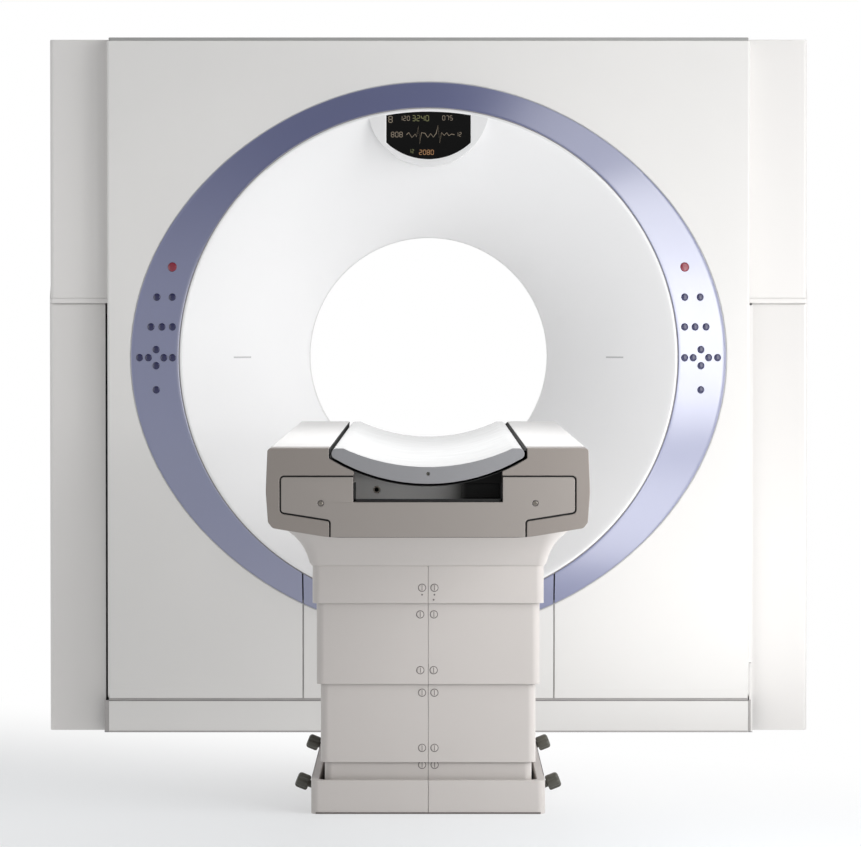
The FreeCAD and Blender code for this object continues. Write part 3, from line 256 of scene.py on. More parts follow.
def material(
    name, colour, roughness, drift=0.015, drift_scale=1.6, grain=0.0, grain_scale=600, uneven=0.1, **gloss
):
    """A finish with a slow drift of colour, an uneven sheen and a fine grain."""
    made = bpy.data.materials.new(name)
    made.use_nodes = True
    nodes, link = made.node_tree.nodes, made.node_tree.links.new
    shader = nodes["Principled BSDF"]
    for socket, value in gloss.items():
        shader.inputs[socket.replace("_", " ")].default_value = value
    place = nodes.new("ShaderNodeTexCoord").outputs["Object"]
    cloud = noise(made, place, drift_scale, 4)
    tint = nodes.new("ShaderNodeValToRGB")
    low, high = tint.color_ramp.elements
    low.position, high.position = NOISE_SPAN
    low.color = (*(c * (1 - drift) for c in colour), 1)
    high.color = (*(min(1, c * (1 + drift)) for c in colour), 1)
    link(cloud, tint.inputs["Fac"])
    link(tint.outputs["Color"], shader.inputs["Base Color"])
    sheen = noise(made, place, drift_scale * SHEEN_FINER, 5)
    rough = ranged(made, sheen, NOISE_SPAN, (roughness * (1 - uneven), roughness * (1 + uneven)))
    link(rough, shader.inputs["Roughness"])
    if grain:
        bump(made, noise(made, place, grain_scale, 2), grain)
    return made


def noise(made, place, scale, detail):
    """A noise pattern's value output."""
    texture = made.node_tree.nodes.new("ShaderNodeTexNoise")
    texture.inputs["Scale"].default_value = scale
    texture.inputs["Detail"].default_value = detail
    made.node_tree.links.new(place, texture.inputs["Vector"])
    return texture.outputs["Fac"]


def ranged(made, value, start_end, low_high=(0, 1), smooth=False):
    """A value of a material's or the world's nodes carried from one range to another."""
    node = made.node_tree.nodes.new("ShaderNodeMapRange")
    if smooth:
        node.interpolation_type = "SMOOTHSTEP"
    node.inputs["From Min"].default_value, node.inputs["From Max"].default_value = start_end
    node.inputs["To Min"].default_value, node.inputs["To Max"].default_value = low_high
    made.node_tree.links.new(value, node.inputs["Value"])
    return node.outputs["Result"]


def bump(made, height, depth):
    """Raises the surface by a height pattern, depth metres high."""
    nodes, link = made.node_tree.nodes, made.node_tree.links.new
    relief = nodes.new("ShaderNodeBump")
    relief.inputs["Strength"].default_value = BUMP_STRENGTH
    relief.inputs["Distance"].default_value = depth
    link(height, relief.inputs["Height"])
    link(relief.outputs["Normal"], nodes["Principled BSDF"].inputs["Normal"])


def brushed(name, colour, roughness, stretch, **gloss):
    """Metal with fine lines along one axis."""
    made = material(name, colour, roughness, drift=0.05, Metallic=1.0, **gloss)
    nodes, link = made.node_tree.nodes, made.node_tree.links.new
    mapping = nodes.new("ShaderNodeMapping")
    mapping.inputs["Scale"].default_value = stretch
    link(nodes["Texture Coordinate"].outputs["Object"], mapping.inputs["Vector"])
    bump(made, noise(made, mapping.outputs["Vector"], BRUSH_SCALE, 3), BRUSH_DEPTH)
    return made


def painted_shade_fade(made, axis, start_end):
    """Paints shade into the finish: it fades to black along one axis."""
    nodes, link = made.node_tree.nodes, made.node_tree.links.new
    shader = nodes["Principled BSDF"]
    split = nodes.new("ShaderNodeSeparateXYZ")
    link(nodes["Texture Coordinate"].outputs["Object"], split.inputs["Vector"])
    mix = nodes.new("ShaderNodeMix")
    mix.data_type = "RGBA"
    link(ranged(made, split.outputs[axis], start_end, smooth=True), mix.inputs["Factor"])
    link(shader.inputs["Base Color"].links[0].from_socket, mix.inputs[6])  # 6, 7 and 2: colours
    mix.inputs[7].default_value = NEAR_BLACK
    link(mix.outputs[2], shader.inputs["Base Color"])
    return made


def glow(name, colour, strength):
    """A lit mark on the display."""
    made = material(name, (0.01, 0.01, 0.01), 0.4, Emission_Strength=strength)
    made.node_tree.nodes["Principled BSDF"].inputs["Emission Color"].default_value = (*colour, 1)
    return made


PAINT = material("panel_paint", (0.8, 0.79, 0.775), 0.42, grain=0.00004, grain_scale=420)
COLUMN_PAINT = material("column_paint", (0.8, 0.785, 0.77), 0.45, grain=0.00004, grain_scale=420)
RING_GLOSS = {"IOR": 3.0, "Coat_Weight": 1.0, "Coat_Roughness": 0.25, "Coat_IOR": 1.6}
RING = material(
    "ring_lacquer", (0.085, 0.105, 0.285), 0.3, drift=0.02, grain=0.00001, uneven=0.03, **RING_GLOSS
)
FUNNEL = material("funnel_gelcoat", (0.88, 0.88, 0.885), 0.38, grain=0.00003, grain_scale=160)
# a greyer copy of the funnel's gelcoat for the pod's front: painted shade
POD_SHADE = material("pod_gelcoat_painted_shade", (0.77, 0.77, 0.775), 0.38, grain=0.00003, grain_scale=160)
WINDOW = material("window_film", (0.86, 0.86, 0.86), 0.3, grain=0.00002, Transmission_Weight=0.15)
STRIP = material("roof_trim", (0.36, 0.36, 0.355), 0.5, drift=0.05, grain=0.00005)
GLASS = material(
    "display_glass", (0.003, 0.003, 0.003), 0.22, drift=0.02, uneven=0.02, Specular_IOR_Level=0.06
)
KEY_BLUE = material("key_blue", (0.014, 0.015, 0.078), 0.26, drift=0.06, drift_scale=40, Coat_Weight=0.6)
KEY_RED = material("key_red", (0.25, 0.018, 0.04), 0.26, drift=0.06, drift_scale=40, Coat_Weight=0.6)
CAP = material("cap_moulding", (0.32, 0.286, 0.262), 0.34, drift=0.03, grain=0.00008, grain_scale=700)
PANEL = material(
    "end_panel_moulding", (0.365, 0.332, 0.308), 0.36, drift=0.03, grain=0.00008, grain_scale=700
)
TROUGH = material("trough_shell", (0.85, 0.84, 0.83), 0.4, grain=0.00004, grain_scale=300)
BOARD = material("board_laminate", (0.84, 0.845, 0.85), 0.18, drift=0.02, grain=0.00002, grain_scale=900)
# the tabletop's end face, grey as a painted shade on the white laminate
BOARD_END_SHADE = material("board_end_painted_shade", (0.33, 0.33, 0.345), 0.38, drift=0.03, grain=0.00006, grain_scale=800)
# the recess's back plate; a painted shade that fades to black along X is added to it later
RECESS = material("recess_plate_painted_shade", (0.8, 0.8, 0.79), 0.5, drift=0.03, grain=0.00004)
SEAL = material("seam_seal", (0.42, 0.405, 0.4), 0.7, drift=0.05, drift_scale=20, grain=0.00005)
PALE_SEAL = material("pale_seal", (0.52, 0.52, 0.525), 0.6, drift=0.05, drift_scale=20, grain=0.00005)
FROST = material("frosted_window", (0.55, 0.55, 0.56), 0.6, drift=0.04, grain=0.00003)
# near black, a painted shade: it lines the tabletop's channel, the recess's edges and the end cap's edge round the
# end panel
SHADE_BLACK = material("channel_lining", (0.012, 0.012, 0.012), 0.7, drift=0.2, drift_scale=30, grain=0.0001)
PEDESTAL = material("pedestal_paint", (0.61, 0.574, 0.55), 0.42, drift=0.02, grain=0.00006, grain_scale=520)
PLUG = material("plug_nylon", (0.62, 0.58, 0.555), 0.4, drift=0.05, drift_scale=60)
GROOVE = material("plug_groove", (0.16, 0.145, 0.14), 0.7, drift=0.1, drift_scale=60)
SCREW = material("screw_zinc", (0.34, 0.31, 0.27), 0.32, drift=0.1, drift_scale=90, Metallic=0.9)
RUBBER = material("switch_rubber", (0.082, 0.08, 0.066), 0.32, drift=0.15, drift_scale=30, grain=0.0002)
STEEL = material("frame_steel", (0.17, 0.18, 0.19), 0.5, drift=0.08, grain=0.0001, grain_scale=200)
CASTING = material(
    "stator_casting", (0.42, 0.43, 0.44), 0.5, drift=0.08, grain=0.0003, grain_scale=180, Metallic=0.8
)
TUBE = material("tube_housing", (0.3, 0.31, 0.32), 0.4, drift=0.05, grain=0.0001, grain_scale=260)
DETECTOR = material("detector_housing", (0.06, 0.065, 0.08), 0.35, drift=0.08, grain=0.00005)
COLUMN = brushed("lift_aluminium", (0.62, 0.63, 0.64), 0.34, (60, 60, 1.5))
AMBER = glow("amber_marks", (0.62, 0.5, 0.36), 0.38)
OLIVE = glow("olive_marks", (0.42, 0.43, 0.16), 0.4)
ORANGE = glow("orange_marks", (0.85, 0.42, 0.16), 0.5)

SLOT_FINISH = {
    "panel_white": PAINT, "ring_blue": RING, "funnel_white": FUNNEL, "display_black": GLASS,
    "window_clear": WINDOW, "trim_grey": STRIP, "steel_frame": STEEL, "cast_frame": CASTING,
    "tube_grey": TUBE, "detector_grey": DETECTOR, "table_white": TROUGH, "cap_taupe": CAP,
    "board_white": BOARD, "pedestal_grey": PEDESTAL, "column_aluminium": COLUMN,
    "rubber_black": RUBBER, "key_blue": KEY_BLUE, "key_red": KEY_RED,
}
NODE_FINISH = {
    "end_panel": PANEL,
    "side_cover_left": COLUMN_PAINT,
    "side_cover_right": COLUMN_PAINT,
    "stand_cover_left": COLUMN_PAINT,
    "stand_cover_right": COLUMN_PAINT,
}


def finish_of(node):
    return NODE_FINISH.get(node, SLOT_FINISH[SLOT_OF[node]])


# ---- mesh building


def piece(name, mesh, finish):
    """A new object at the origin with one finish."""
    made = bpy.data.objects.new(name, mesh)
    bpy.context.scene.collection.objects.link(made)
    mesh.materials.clear()
    mesh.materials.append(finish)
    return made


def shape_mesh(name, bm, crease):
    """A mesh from a bmesh, smooth but for edges sharper than crease degrees."""
    bmesh.ops.recalc_face_normals(bm, faces=bm.faces)
    for face in bm.faces:
        face.smooth = True
    for edge in bm.edges:
        edge.smooth = len(edge.link_faces) == 2 and edge.calc_face_angle(0) < math.radians(crease)
    mesh = bpy.data.meshes.new(name)
    bm.to_mesh(mesh)
    bm.free()
    return mesh


def shaped(name, bm, finish, crease=35):
    """A new object from a bmesh."""
    return piece(name, shape_mesh(name, bm, crease), finish)


def baked(made):
    """The object with its modifiers turned into plain mesh."""
    graph = bpy.context.evaluated_depsgraph_get()
    mesh = bpy.data.meshes.new_from_object(made.evaluated_get(graph))
    made.modifiers.clear()
    made.data = mesh
    return made


def bevelled(made, width, segments=2, angle=30):
    """Rounds the object's edges."""
    edges = made.modifiers.new("rounded_edges", "BEVEL")
    edges.width = width
    edges.segments = segments
    edges.limit_method = "ANGLE"
    edges.angle_limit = math.radians(angle)
    edges.use_clamp_overlap = False
    edges.harden_normals = True
    edges.miter_outer = "MITER_ARC"
    baked(made)


def cut_by(made, tools, operation="DIFFERENCE"):
    """Cuts tool meshes out of the object, or joins them to it."""
    for tool in tools:
        cut = made.modifiers.new("cut", "BOOLEAN")
        cut.operation = operation
        cut.solver = "EXACT"
        cut.object = tool
    baked(made)
    for tool in tools:
        bpy.data.objects.remove(tool)


def resharpened(made, crease=32):
    """Smooths the object afresh after a cut."""
    bm = bmesh.new()
    bm.from_mesh(made.data)
    bmesh.ops.remove_doubles(bm, verts=bm.verts, dist=1e-6)
    finish = made.data.materials[0]
    made.data = shape_mesh(made.name, bm, crease)
    made.data.materials.append(finish)


def loops(bm, rows, closed_along, closed_across):
    """Quads between rows of points; rows may close on themselves both ways."""
    rings = [[bm.verts.new(point) for point in row] for row in rows]
    count = len(rings)
    for i in range(count if closed_across else count - 1):
        near, far = rings[i], rings[(i + 1) % count]
        for j in range(len(near) if closed_along else len(near) - 1):
            k = (j + 1) % len(near)
            bm.faces.new((near[j], near[k], far[k], far[j]))
    return rings


def turned(name, profile, steps, place, finish, closed=False):
    """A solid turned about Z from (radius, height) points, then moved to its place."""
    bm = bmesh.new()
    rows = []
    for radius, height in profile:
        spin = (2 * math.pi * k / steps for k in range(steps))
        rows.append([place @ Vector((radius * math.cos(a), radius * math.sin(a), height)) for a in spin])
    loops(bm, rows, True, closed)
    bmesh.ops.remove_doubles(bm, verts=bm.verts, dist=1e-7)
    return shaped(name, bm, finish)


def tube(bm, rows):
    """A solid that runs through closed rows of points, with a flat face at both ends."""
    rings = loops(bm, rows, True, False)
    bm.faces.new(rings[0])
    bm.faces.new(rings[-1])


def prism(name, points, y0, y1):
    """A solid with an outline in (x, z), running from y0 to y1."""
    bm = bmesh.new()
    tube(bm, [[Vector((x, y, z)) for x, z in points] for y in (y0, y1)])
    return shaped(name, bm, PAINT)


def draw_in(bm, reach):
    """Moves the edges of an upright plate in, which widens the gap round it."""
    moves = {}
    for vert in bm.verts:
        sides = []
        for face in vert.link_faces:
            if abs(face.normal.y) < 0.5 and all(face.normal.dot(side) < 0.9999 for side in sides):
                sides.append(face.normal.copy())
        if len(sides) == 2:
            moves[vert] = (sides[0] + sides[1]) / (1 + sides[0].dot(sides[1]))
        elif sides:
            moves[vert] = sides[0]
    for vert, move in moves.items():
        vert.co -= move * reach


def skin(node, rounding):
    """A CAD node's own form with its edges rounded, standing for the node."""
    bm = bmesh.new()
    bm.from_mesh(frame["nodes"][node].data)
    bmesh.ops.remove_doubles(bm, verts=bm.verts, dist=2e-5)
    bmesh.ops.dissolve_limit(bm, angle_limit=math.radians(0.5), verts=bm.verts, edges=bm.edges)
    if node == "end_panel":
        draw_in(bm, PANEL_DRAWN_IN)
    made = shaped(f"{node}_skin", bm, finish_of(node), 30)
    if rounding:
        bevelled(made, rounding)
    stand_for(made, node)


def stand_for(made, node):
    """The piece rides as the node does and is shown in its place."""
    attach(made, BODY_OF[node])
    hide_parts(node)


def carried(made, body):
    """A piece that no CAD node stands for, on a body."""
    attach(made, body)


# ---- what repeats, set out by geometry nodes


TRACE_SIDES = 8
FRONTWARD_TURN = Vector((0, -1, 0)).to_track_quat("Z", "X").to_euler()


def new_tree(name, **inputs):
    """A node tree, its start and its last steps, which make one mesh of a finish."""
    tree = bpy.data.node_groups.new(name, "GeometryNodeTree")
    for label, kind in (*inputs.items(), ("Finish", "Material")):
        tree.interface.new_socket(label, in_out="INPUT", socket_type=f"NodeSocket{kind}")
    tree.interface.new_socket("Geometry", in_out="OUTPUT", socket_type="NodeSocketGeometry")
    add, link = tree.nodes.new, tree.links.new
    start, end = add("NodeGroupInput"), add("NodeGroupOutput")
    solid, paint = add("GeometryNodeRealizeInstances"), add("GeometryNodeSetMaterial")
    link(solid.outputs["Geometry"], paint.inputs["Geometry"])
    link(start.outputs["Finish"], paint.inputs["Material"])
    link(paint.outputs["Geometry"], end.inputs["Geometry"])
    return tree, start, solid


def pattern_tree():
    """Copies of a shape on the points of a mesh, each turned by the point's own turn."""
    tree, start, solid = new_tree("set_out", Points="Geometry", Shape="Object", Size="Float")
    add, link = tree.nodes.new, tree.links.new
    shape = add("GeometryNodeObjectInfo")
    turn = add("GeometryNodeInputNamedAttribute")
    turn.data_type = "FLOAT_VECTOR"
    turn.inputs["Name"].default_value = "turn"
    copies = add("GeometryNodeInstanceOnPoints")
    link(start.outputs["Shape"], shape.inputs["Object"])
    link(start.outputs["Points"], copies.inputs["Points"])
    link(shape.outputs["Geometry"], copies.inputs["Instance"])
    link(turn.outputs["Attribute"], copies.inputs["Rotation"])
    link(start.outputs["Size"], copies.inputs["Scale"])
    link(copies.outputs["Instances"], solid.inputs["Geometry"])
    return tree


def trace_tree():
    """A thin round line along the edges of a mesh."""
    tree, start, solid = new_tree("drawn_line", Path="Geometry", Radius="Float")
    add, link = tree.nodes.new, tree.links.new
    curve = add("GeometryNodeMeshToCurve")
    section = add("GeometryNodeCurvePrimitiveCircle")
    section.inputs["Resolution"].default_value = TRACE_SIDES
    line = add("GeometryNodeCurveToMesh")
    line.inputs["Fill Caps"].default_value = True
    link(start.outputs["Path"], curve.inputs["Mesh"])
    link(start.outputs["Radius"], section.inputs["Radius"])
    link(curve.outputs["Curve"], line.inputs["Curve"])
    link(section.outputs["Curve"], line.inputs["Profile Curve"])
    link(line.outputs["Mesh"], solid.inputs["Geometry"])
    return tree


PATTERN = pattern_tree()
TRACE = trace_tree()


def grown(name, mesh, tree, finish, **inputs):
    """An object made by a node tree from a mesh of points or edges."""
    made = piece(name, mesh, finish)
    growth = made.modifiers.new("growth", "NODES")
    growth.node_group = tree
    sockets = {s.name: s.identifier for s in tree.interface.items_tree if s.in_out == "INPUT"}
    growth[sockets["Finish"]] = finish
    for label, value in inputs.items():
        growth[sockets[label]] = value
    return baked(made)


def set_out(name, shape, spots, finish, size=1.0):
    """A shape at each spot, a point and the shape's turn there."""
    mesh = bpy.data.meshes.new(name)
    mesh.from_pydata([point for point, _ in spots], [], [])
    turns = mesh.attributes.new("turn", "FLOAT_VECTOR", "POINT")
    for item, (_, turn) in zip(turns.data, spots):
        item.vector = turn
    return grown(name, mesh, PATTERN, finish, Shape=shape, Size=size)


def drawn(name, points, radius, finish):
    """A thin line through points."""
    mesh = bpy.data.meshes.new(name)
    mesh.from_pydata(points, [(i, i + 1) for i in range(len(points) - 1)], [])
    return grown(name, mesh, TRACE, finish, Radius=radius)


def pattern_shape(name, profile, steps, closed=False):
    """A turned shape to set out; it isn't part of the object itself."""
    return turned(name, profile, steps, Matrix.Identity(4), PAINT, closed)


def discard(*shapes):
    for shape in shapes:
        bpy.data.objects.remove(shape)


# ---- control ring


RING_SECTION = [  # (share of the way from the outer edge to the rim, depth behind the front plane)
    (0.0, 0.007), (0.0, 0.0006), (0.004, -0.0004), (0.012, -0.001),
    *((0.02 + 0.96 * k / 16, -RING_RISE * (0.02 + 0.96 * k / 16)) for k in range(17)),
    (0.99, -0.0451), (0.996, -0.0447), (1.0, -0.0436), (1.0, -0.02), (0.986, -0.02),
    (0.984, -0.039), (0.04, 0.0034), (0.036, 0.007),
]
RING_CUT_ROUNDS = 30  # until the angle of the seam plane stands still


def ring_radius(angle):
    """The ring's outer edge: an ellipse drawn in a little between its axes."""
    plain = 1 / math.hypot(math.cos(angle) / RING_HALF_W, math.sin(angle) / RING_HALF_H)
    return plain * (1 - RING_FLAT * math.sin(2 * angle) ** 2)


def ring_row(share, depth, x_cut, upper):
    """Points of one line of the ring, ending on the seam planes at x_cut."""

    def place(angle):
        edge = ring_radius(angle)
        return edge + (RIM_R - edge) * share

    low = -math.acos(x_cut / RIM_R)
    for _ in range(RING_CUT_ROUNDS):
        low = -math.acos(x_cut / place(low))
    sweep = math.pi - 2 * low if upper else -math.pi - 2 * low
    steps = RING_STEPS if upper else RING_STEPS // 6
    points = []
    for k in range(steps + 1):
        a = low + sweep * k / steps
        points.append(Vector((place(a) * math.cos(a), FRONT_Y + depth, ISO.z + place(a) * math.sin(a))))
    return points


def ring_part(name, x_cut, upper):
    bm = bmesh.new()
    rings = loops(bm, [ring_row(u, d, x_cut, upper) for u, d in RING_SECTION], False, True)
    bm.faces.new([row[0] for row in rings])
    bm.faces.new([row[-1] for row in rings])
    return shaped(name, bm, RING)


GROOVE_SEAL_SECTION = [  # (distance outside the groove's inner edge, depth behind the face)
    (0.0003, 0.001), (0.0027, 0.001), (0.0027, 0.003), (0.0003, 0.003),
]


def groove_seals():
    """The pale strips in the grooves outside and inside the ring."""
    turns = [2 * math.pi * k / RING_STEPS for k in range(RING_STEPS)]
    for name, edge, setback, finish in (
        ("ring_outer_seal", ring_radius, 0.0, PALE_SEAL),
        ("ring_inner_seal", lambda angle: LIP_R, LIP_SETBACK - RING_RISE, SEAL),
    ):
        rows = []
        for grow, depth in GROOVE_SEAL_SECTION:
            y = FRONT_Y + depth + setback
            reach = [(edge(a) + grow, a) for a in turns]
            rows.append([Vector((r * math.cos(a), y, ISO.z + r * math.sin(a))) for r, a in reach])
        bm = bmesh.new()
        loops(bm, rows, True, True)
        carried(shaped(name, bm, finish), "tilt")


def pressed(kind):
    """Each node of a kind that is pressed in, with its middle and the way it faces."""
    for joint in frame["joints"]:
        node = joint["child"]
        if node.startswith(kind):
            low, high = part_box(node)
            yield node, (low + high) / 2, -Vector(joint["axis"]).normalized()


def key_spots():
    """Each key's node with the point of the ring's face under its middle and the way it faces."""
    for node, middle, facing in pressed("key_"):
        yield node, middle + facing * KEY_SETBACK, facing


def key_radius(node):
    return STOP_KEY_R if node.endswith("stop") else KEY_R


def along(point, facing):
    """The matrix that carries Z to a direction and the origin to a point."""
    return Matrix.Translation(point) @ Vector(facing).to_track_quat("Z", "X").to_matrix().to_4x4()


def control_ring():
    """The lacquered ring in its two parts, with a round hole for each key."""
    upper = ring_part("control_ring_upper", SEAM_X + SEAM_GAP / 2, True)
    lower = ring_part("control_ring_lower", SEAM_X - SEAM_GAP / 2, False)
    holes = []
    under, above = KEY_HOLE_REACH
    for node, spot, facing in key_spots():
        radius = key_radius(node) + KEY_GAP
        profile = [(0, under), (radius, under), (radius, above), (0, above)]
        holes.append(turned(f"hole_{node}", profile, 32, along(spot, facing), RING))
    bm = bmesh.new()
    for hole in holes:
        bm.from_mesh(hole.data)
    discard(*holes)
    tool = shaped("key_holes", bm, RING)
    cut_by(upper, [tool])
    resharpened(upper)
    for made in (upper, lower):
        stand_for(made, "control_ring")


KEY_DOME = [  # (share of the radius, height above the ring's face)
    (1.0, -0.007), (1.0, 0.0004), (0.97, 0.001), (0.9, 0.0016), (0.78, 0.0021), (0.6, 0.00255),
    (0.4, 0.00285), (0.2, 0.003), (0.0, 0.00305),
]


def keys():
    """Domed keys in their holes."""
    for node, spot, facing in key_spots():
        radius = key_radius(node)
        profile = [(0, KEY_DOME[0][1])] + [(share * radius, height) for share, height in KEY_DOME]
        made = turned(f"{node}_cap", profile, 40, along(spot, facing), finish_of(node))
        stand_for(made, node)


# ---- funnel, display pod and display


def funnel_arc(inset):
    """(radius, distance from the tilt axis) along the funnel's trumpet curve, inset into the wall."""
    s0 = THROAT_HALF + THROAT_EDGE_R * math.sin(FUNNEL_ANGLE)
    r0 = BORE_R + THROAT_EDGE_R * (1 - math.cos(FUNNEL_ANGLE))
    chord = math.atan2(MOUTH_R - r0, MOUTH_DEPTH - s0)
    radius = math.hypot(MOUTH_DEPTH - s0, MOUTH_R - r0) / (2 * math.sin(chord - FUNNEL_ANGLE))
    centre_s = s0 - radius * math.sin(FUNNEL_ANGLE)
    centre_r = r0 + radius * math.cos(FUNNEL_ANGLE)
    reach = radius - inset
    points = []
    for k in range(FUNNEL_ROWS + 1):
        a = FUNNEL_ANGLE + 2 * (chord - FUNNEL_ANGLE) * k / FUNNEL_ROWS
        points.append((centre_r - reach * math.cos(a), centre_s + reach * math.sin(a)))
    return points


def funnel_depth(radius):
    """The distance of the funnel's face from the tilt axis at a radius."""
    points = funnel_arc(0)
    for (r0, s0), (r1, s1) in zip(points, points[1:]):
        if r0 <= radius <= r1:
            return s0 + (s1 - s0) * (radius - r0) / (r1 - r0)
    return points[-1][1]


def funnel_profile():
    """The wall's closed outline: throat edge, face, lip, flange and back."""
    throat = []
    for k in range(THROAT_STEPS):
        a = FUNNEL_ANGLE * k / THROAT_STEPS
        throat.append(
            (BORE_R + THROAT_EDGE_R * (1 - math.cos(a)), THROAT_HALF + THROAT_EDGE_R * math.sin(a))
        )
    near, far = (MOUTH_DEPTH - depth for depth in FLANGE_DEPTHS)
    lip = [
        (MOUTH_R + 0.0012, MOUTH_DEPTH + 0.0003),
        (LIP_R - 0.0016, MOUTH_DEPTH + 0.0003),
        (LIP_R - 0.0004, MOUTH_DEPTH - 0.0004),
        (LIP_R, MOUTH_DEPTH - LIP_SETBACK),
        (LIP_R, near),
        (FLANGE_R, near),
        (FLANGE_R, far),
        (LIP_R - FUNNEL_WALL, far),
    ]
    back = funnel_arc(FUNNEL_WALL)[::BACK_ROW_STEP][::-1]
    return throat + funnel_arc(0) + lip + back + [(back[-1][0], THROAT_HALF)]


def screen_outline(grow):
    """The display's outline in (x, z): straight sides between two curves."""
    half_w, top_r = SCREEN_HALF_W + grow, SCREEN_TOP_R + grow
    side_z, low_z = SCREEN_SIDE_Z - grow * 0.3, SCREEN_LOW_Z - grow
    rise = side_z - low_z
    low_r = (half_w**2 + rise**2) / (2 * rise)
    points = []
    for k in range(SCREEN_STEPS + 1):
        x = half_w * (1 - 2 * k / SCREEN_STEPS)
        points.append((x, ISO.z + math.sqrt(top_r**2 - x**2)))
    for k in range(SCREEN_STEPS + 1):
        x = half_w * (2 * k / SCREEN_STEPS - 1)
        points.append((x, ISO.z + low_z + low_r - math.sqrt(low_r**2 - x**2)))
    return points


def screen_tool():
    """The display's seat with a chamfered edge."""
    bm = bmesh.new()
    tube(bm, [[Vector((x, y, z)) for x, z in screen_outline(grow)] for grow, y in SCREEN_SEAT])
    return shaped("screen_seat", bm, FUNNEL)


def pod_block():
    """The display pod's solid: a flat front on the lip's plane, sides that run back into the funnel."""
    reach = (POD_Z**2 + POD_EDGE_R**2 - POD_R**2) / (2 * POD_Z)
    half_w = math.sqrt(POD_EDGE_R**2 - reach**2) * POD_TIP_SHARE
    grids = []
    for back in (False, True):
        grid = []
        for i in range(POD_COLUMNS + 1):
            x = -half_w * math.cos(math.pi * i / POD_COLUMNS)
            low = POD_Z - math.sqrt(POD_R**2 - x**2)
            high = max(low, math.sqrt(POD_EDGE_R**2 - x**2))
            line = []
            for j in range(POD_ROWS + 1):
                z = low + (high - low) * j / POD_ROWS
                y = -funnel_depth(math.hypot(x, z)) + FUNNEL_WALL / 2 if back else -MOUTH_DEPTH
                line.append(Vector((x, y, ISO.z + z)))
            grid.append(line)
        grids.append(grid)
    bm = bmesh.new()
    near, far = (loops(bm, grid, False, False) for grid in grids)
    for i in range(POD_COLUMNS):
        for j in (0, POD_ROWS):
            bm.faces.new((near[i][j], near[i + 1][j], far[i + 1][j], far[i][j]))
    for i in (0, POD_COLUMNS):
        for j in range(POD_ROWS):
            bm.faces.new((near[i][j], near[i][j + 1], far[i][j + 1], far[i][j]))
    bmesh.ops.remove_doubles(bm, verts=bm.verts, dist=1e-5)
    return shaped("pod_block", bm, FUNNEL)


FRONTWARD = Matrix.Translation(ISO) @ Matrix.Rotation(math.radians(90), 4, "X")


def front_funnel():
    """The white funnel with its display pod, the display's seat and the light slots; the pod's front takes a
    greyer copy of the white as painted shade.
    """
    made = turned("front_funnel_shell", funnel_profile(), FUNNEL_STEPS, FRONTWARD, FUNNEL, True)
    cut_by(made, [pod_block()], "UNION")
    half = SLOT_H / 2
    slots = []
    for side in (-1, 1):
        x0, x1 = sorted((side * SLOT_START_R, side * (SLOT_START_R + SLOT_LENGTH)))
        points = [(x0, ISO.z - half), (x1, ISO.z - half), (x1, ISO.z + half), (x0, ISO.z + half)]
        slots.append(prism("light_slot", points, FRONT_Y, -THROAT_HALF))
    cut_by(made, [screen_tool(), *slots])
    resharpened(made)
    # the pod's flat front in the greyer copy: painted shade
    made.data.materials.append(POD_SHADE)
    for face in made.data.polygons:
        if face.normal.y < -0.99 and face.center.z > ISO.z + SCREEN_LOW_Z - POD_BELOW_SCREEN:
            face.material_index = 1
    stand_for(made, "front_funnel")


DIGITS = {  # the lit bars of the digits that are shown
    "0": "abcdef", "1": "bc", "2": "abged", "3": "abgcd",
    "4": "fgbc", "5": "afgcd", "7": "abc", "8": "abcdefg",
}
BARS = {  # each bar's middle in the digit's own width and height, and whether it stands
    "a": (0.5, 1.0, False), "b": (1.0, 0.75, True), "c": (1.0, 0.25, True), "d": (0.5, 0.0, False),
    "e": (0.0, 0.25, True), "f": (0.0, 0.75, True), "g": (0.5, 0.5, False),
}
DISPLAY_TEXT = [  # text, left x, low z above the bore's axis, digit height, finish
    ("8", -0.113, 0.6705, 0.0175, AMBER),
    ("120", -0.082, 0.676, 0.0125, AMBER),
    ("3240", -0.046, 0.675, 0.015, OLIVE),
    ("075", 0.04, 0.677, 0.0125, AMBER),
    ("808", -0.106, 0.629, 0.014, AMBER),
    ("12", 0.078, 0.631, 0.011, AMBER),
    ("12", -0.056, 0.584, 0.01, OLIVE),
    ("2080", -0.026, 0.579, 0.013, ORANGE),
]
DIGIT_WIDTH = 0.55  # this, the pitch and the bar are in digit heights
DIGIT_PITCH = 0.85
DIGIT_BAR = (0.42, 0.02, 0.11)
DIGIT_Y = SCREEN_Y - 0.0002
TRACE_Y = SCREEN_Y - 0.0003
TRACE_Z = 0.6355
TRACE_R = 0.0009
BEATS = [  # (x, z above the trace's own height)
    (-0.063, 0), (-0.056, 0.006), (-0.047, -0.008), (-0.038, 0.002), (-0.034, -0.006),
    (-0.029, 0.024), (-0.025, -0.026), (-0.02, 0.006), (-0.01, 0.004), (-0.002, -0.008),
    (0.006, 0.003), (0.014, -0.007), (0.022, 0.004), (0.027, 0.026), (0.032, -0.025),
    (0.037, 0.006), (0.045, -0.002), (0.052, 0.006), (0.058, -0.003), (0.066, 0.002), (0.074, 0),
]


def digit_bars(text, x, z, height):
    """Each lit bar's point and its turn, standing or lying."""
    for k, digit in enumerate(text):
        for bar in DIGITS[digit]:
            u, v, upright = BARS[bar]
            left = x + k * height * DIGIT_PITCH
            point = Vector((left + u * height * DIGIT_WIDTH, DIGIT_Y, ISO.z + z + v * height))
            yield point, (0, math.radians(90) if upright else 0, 0)


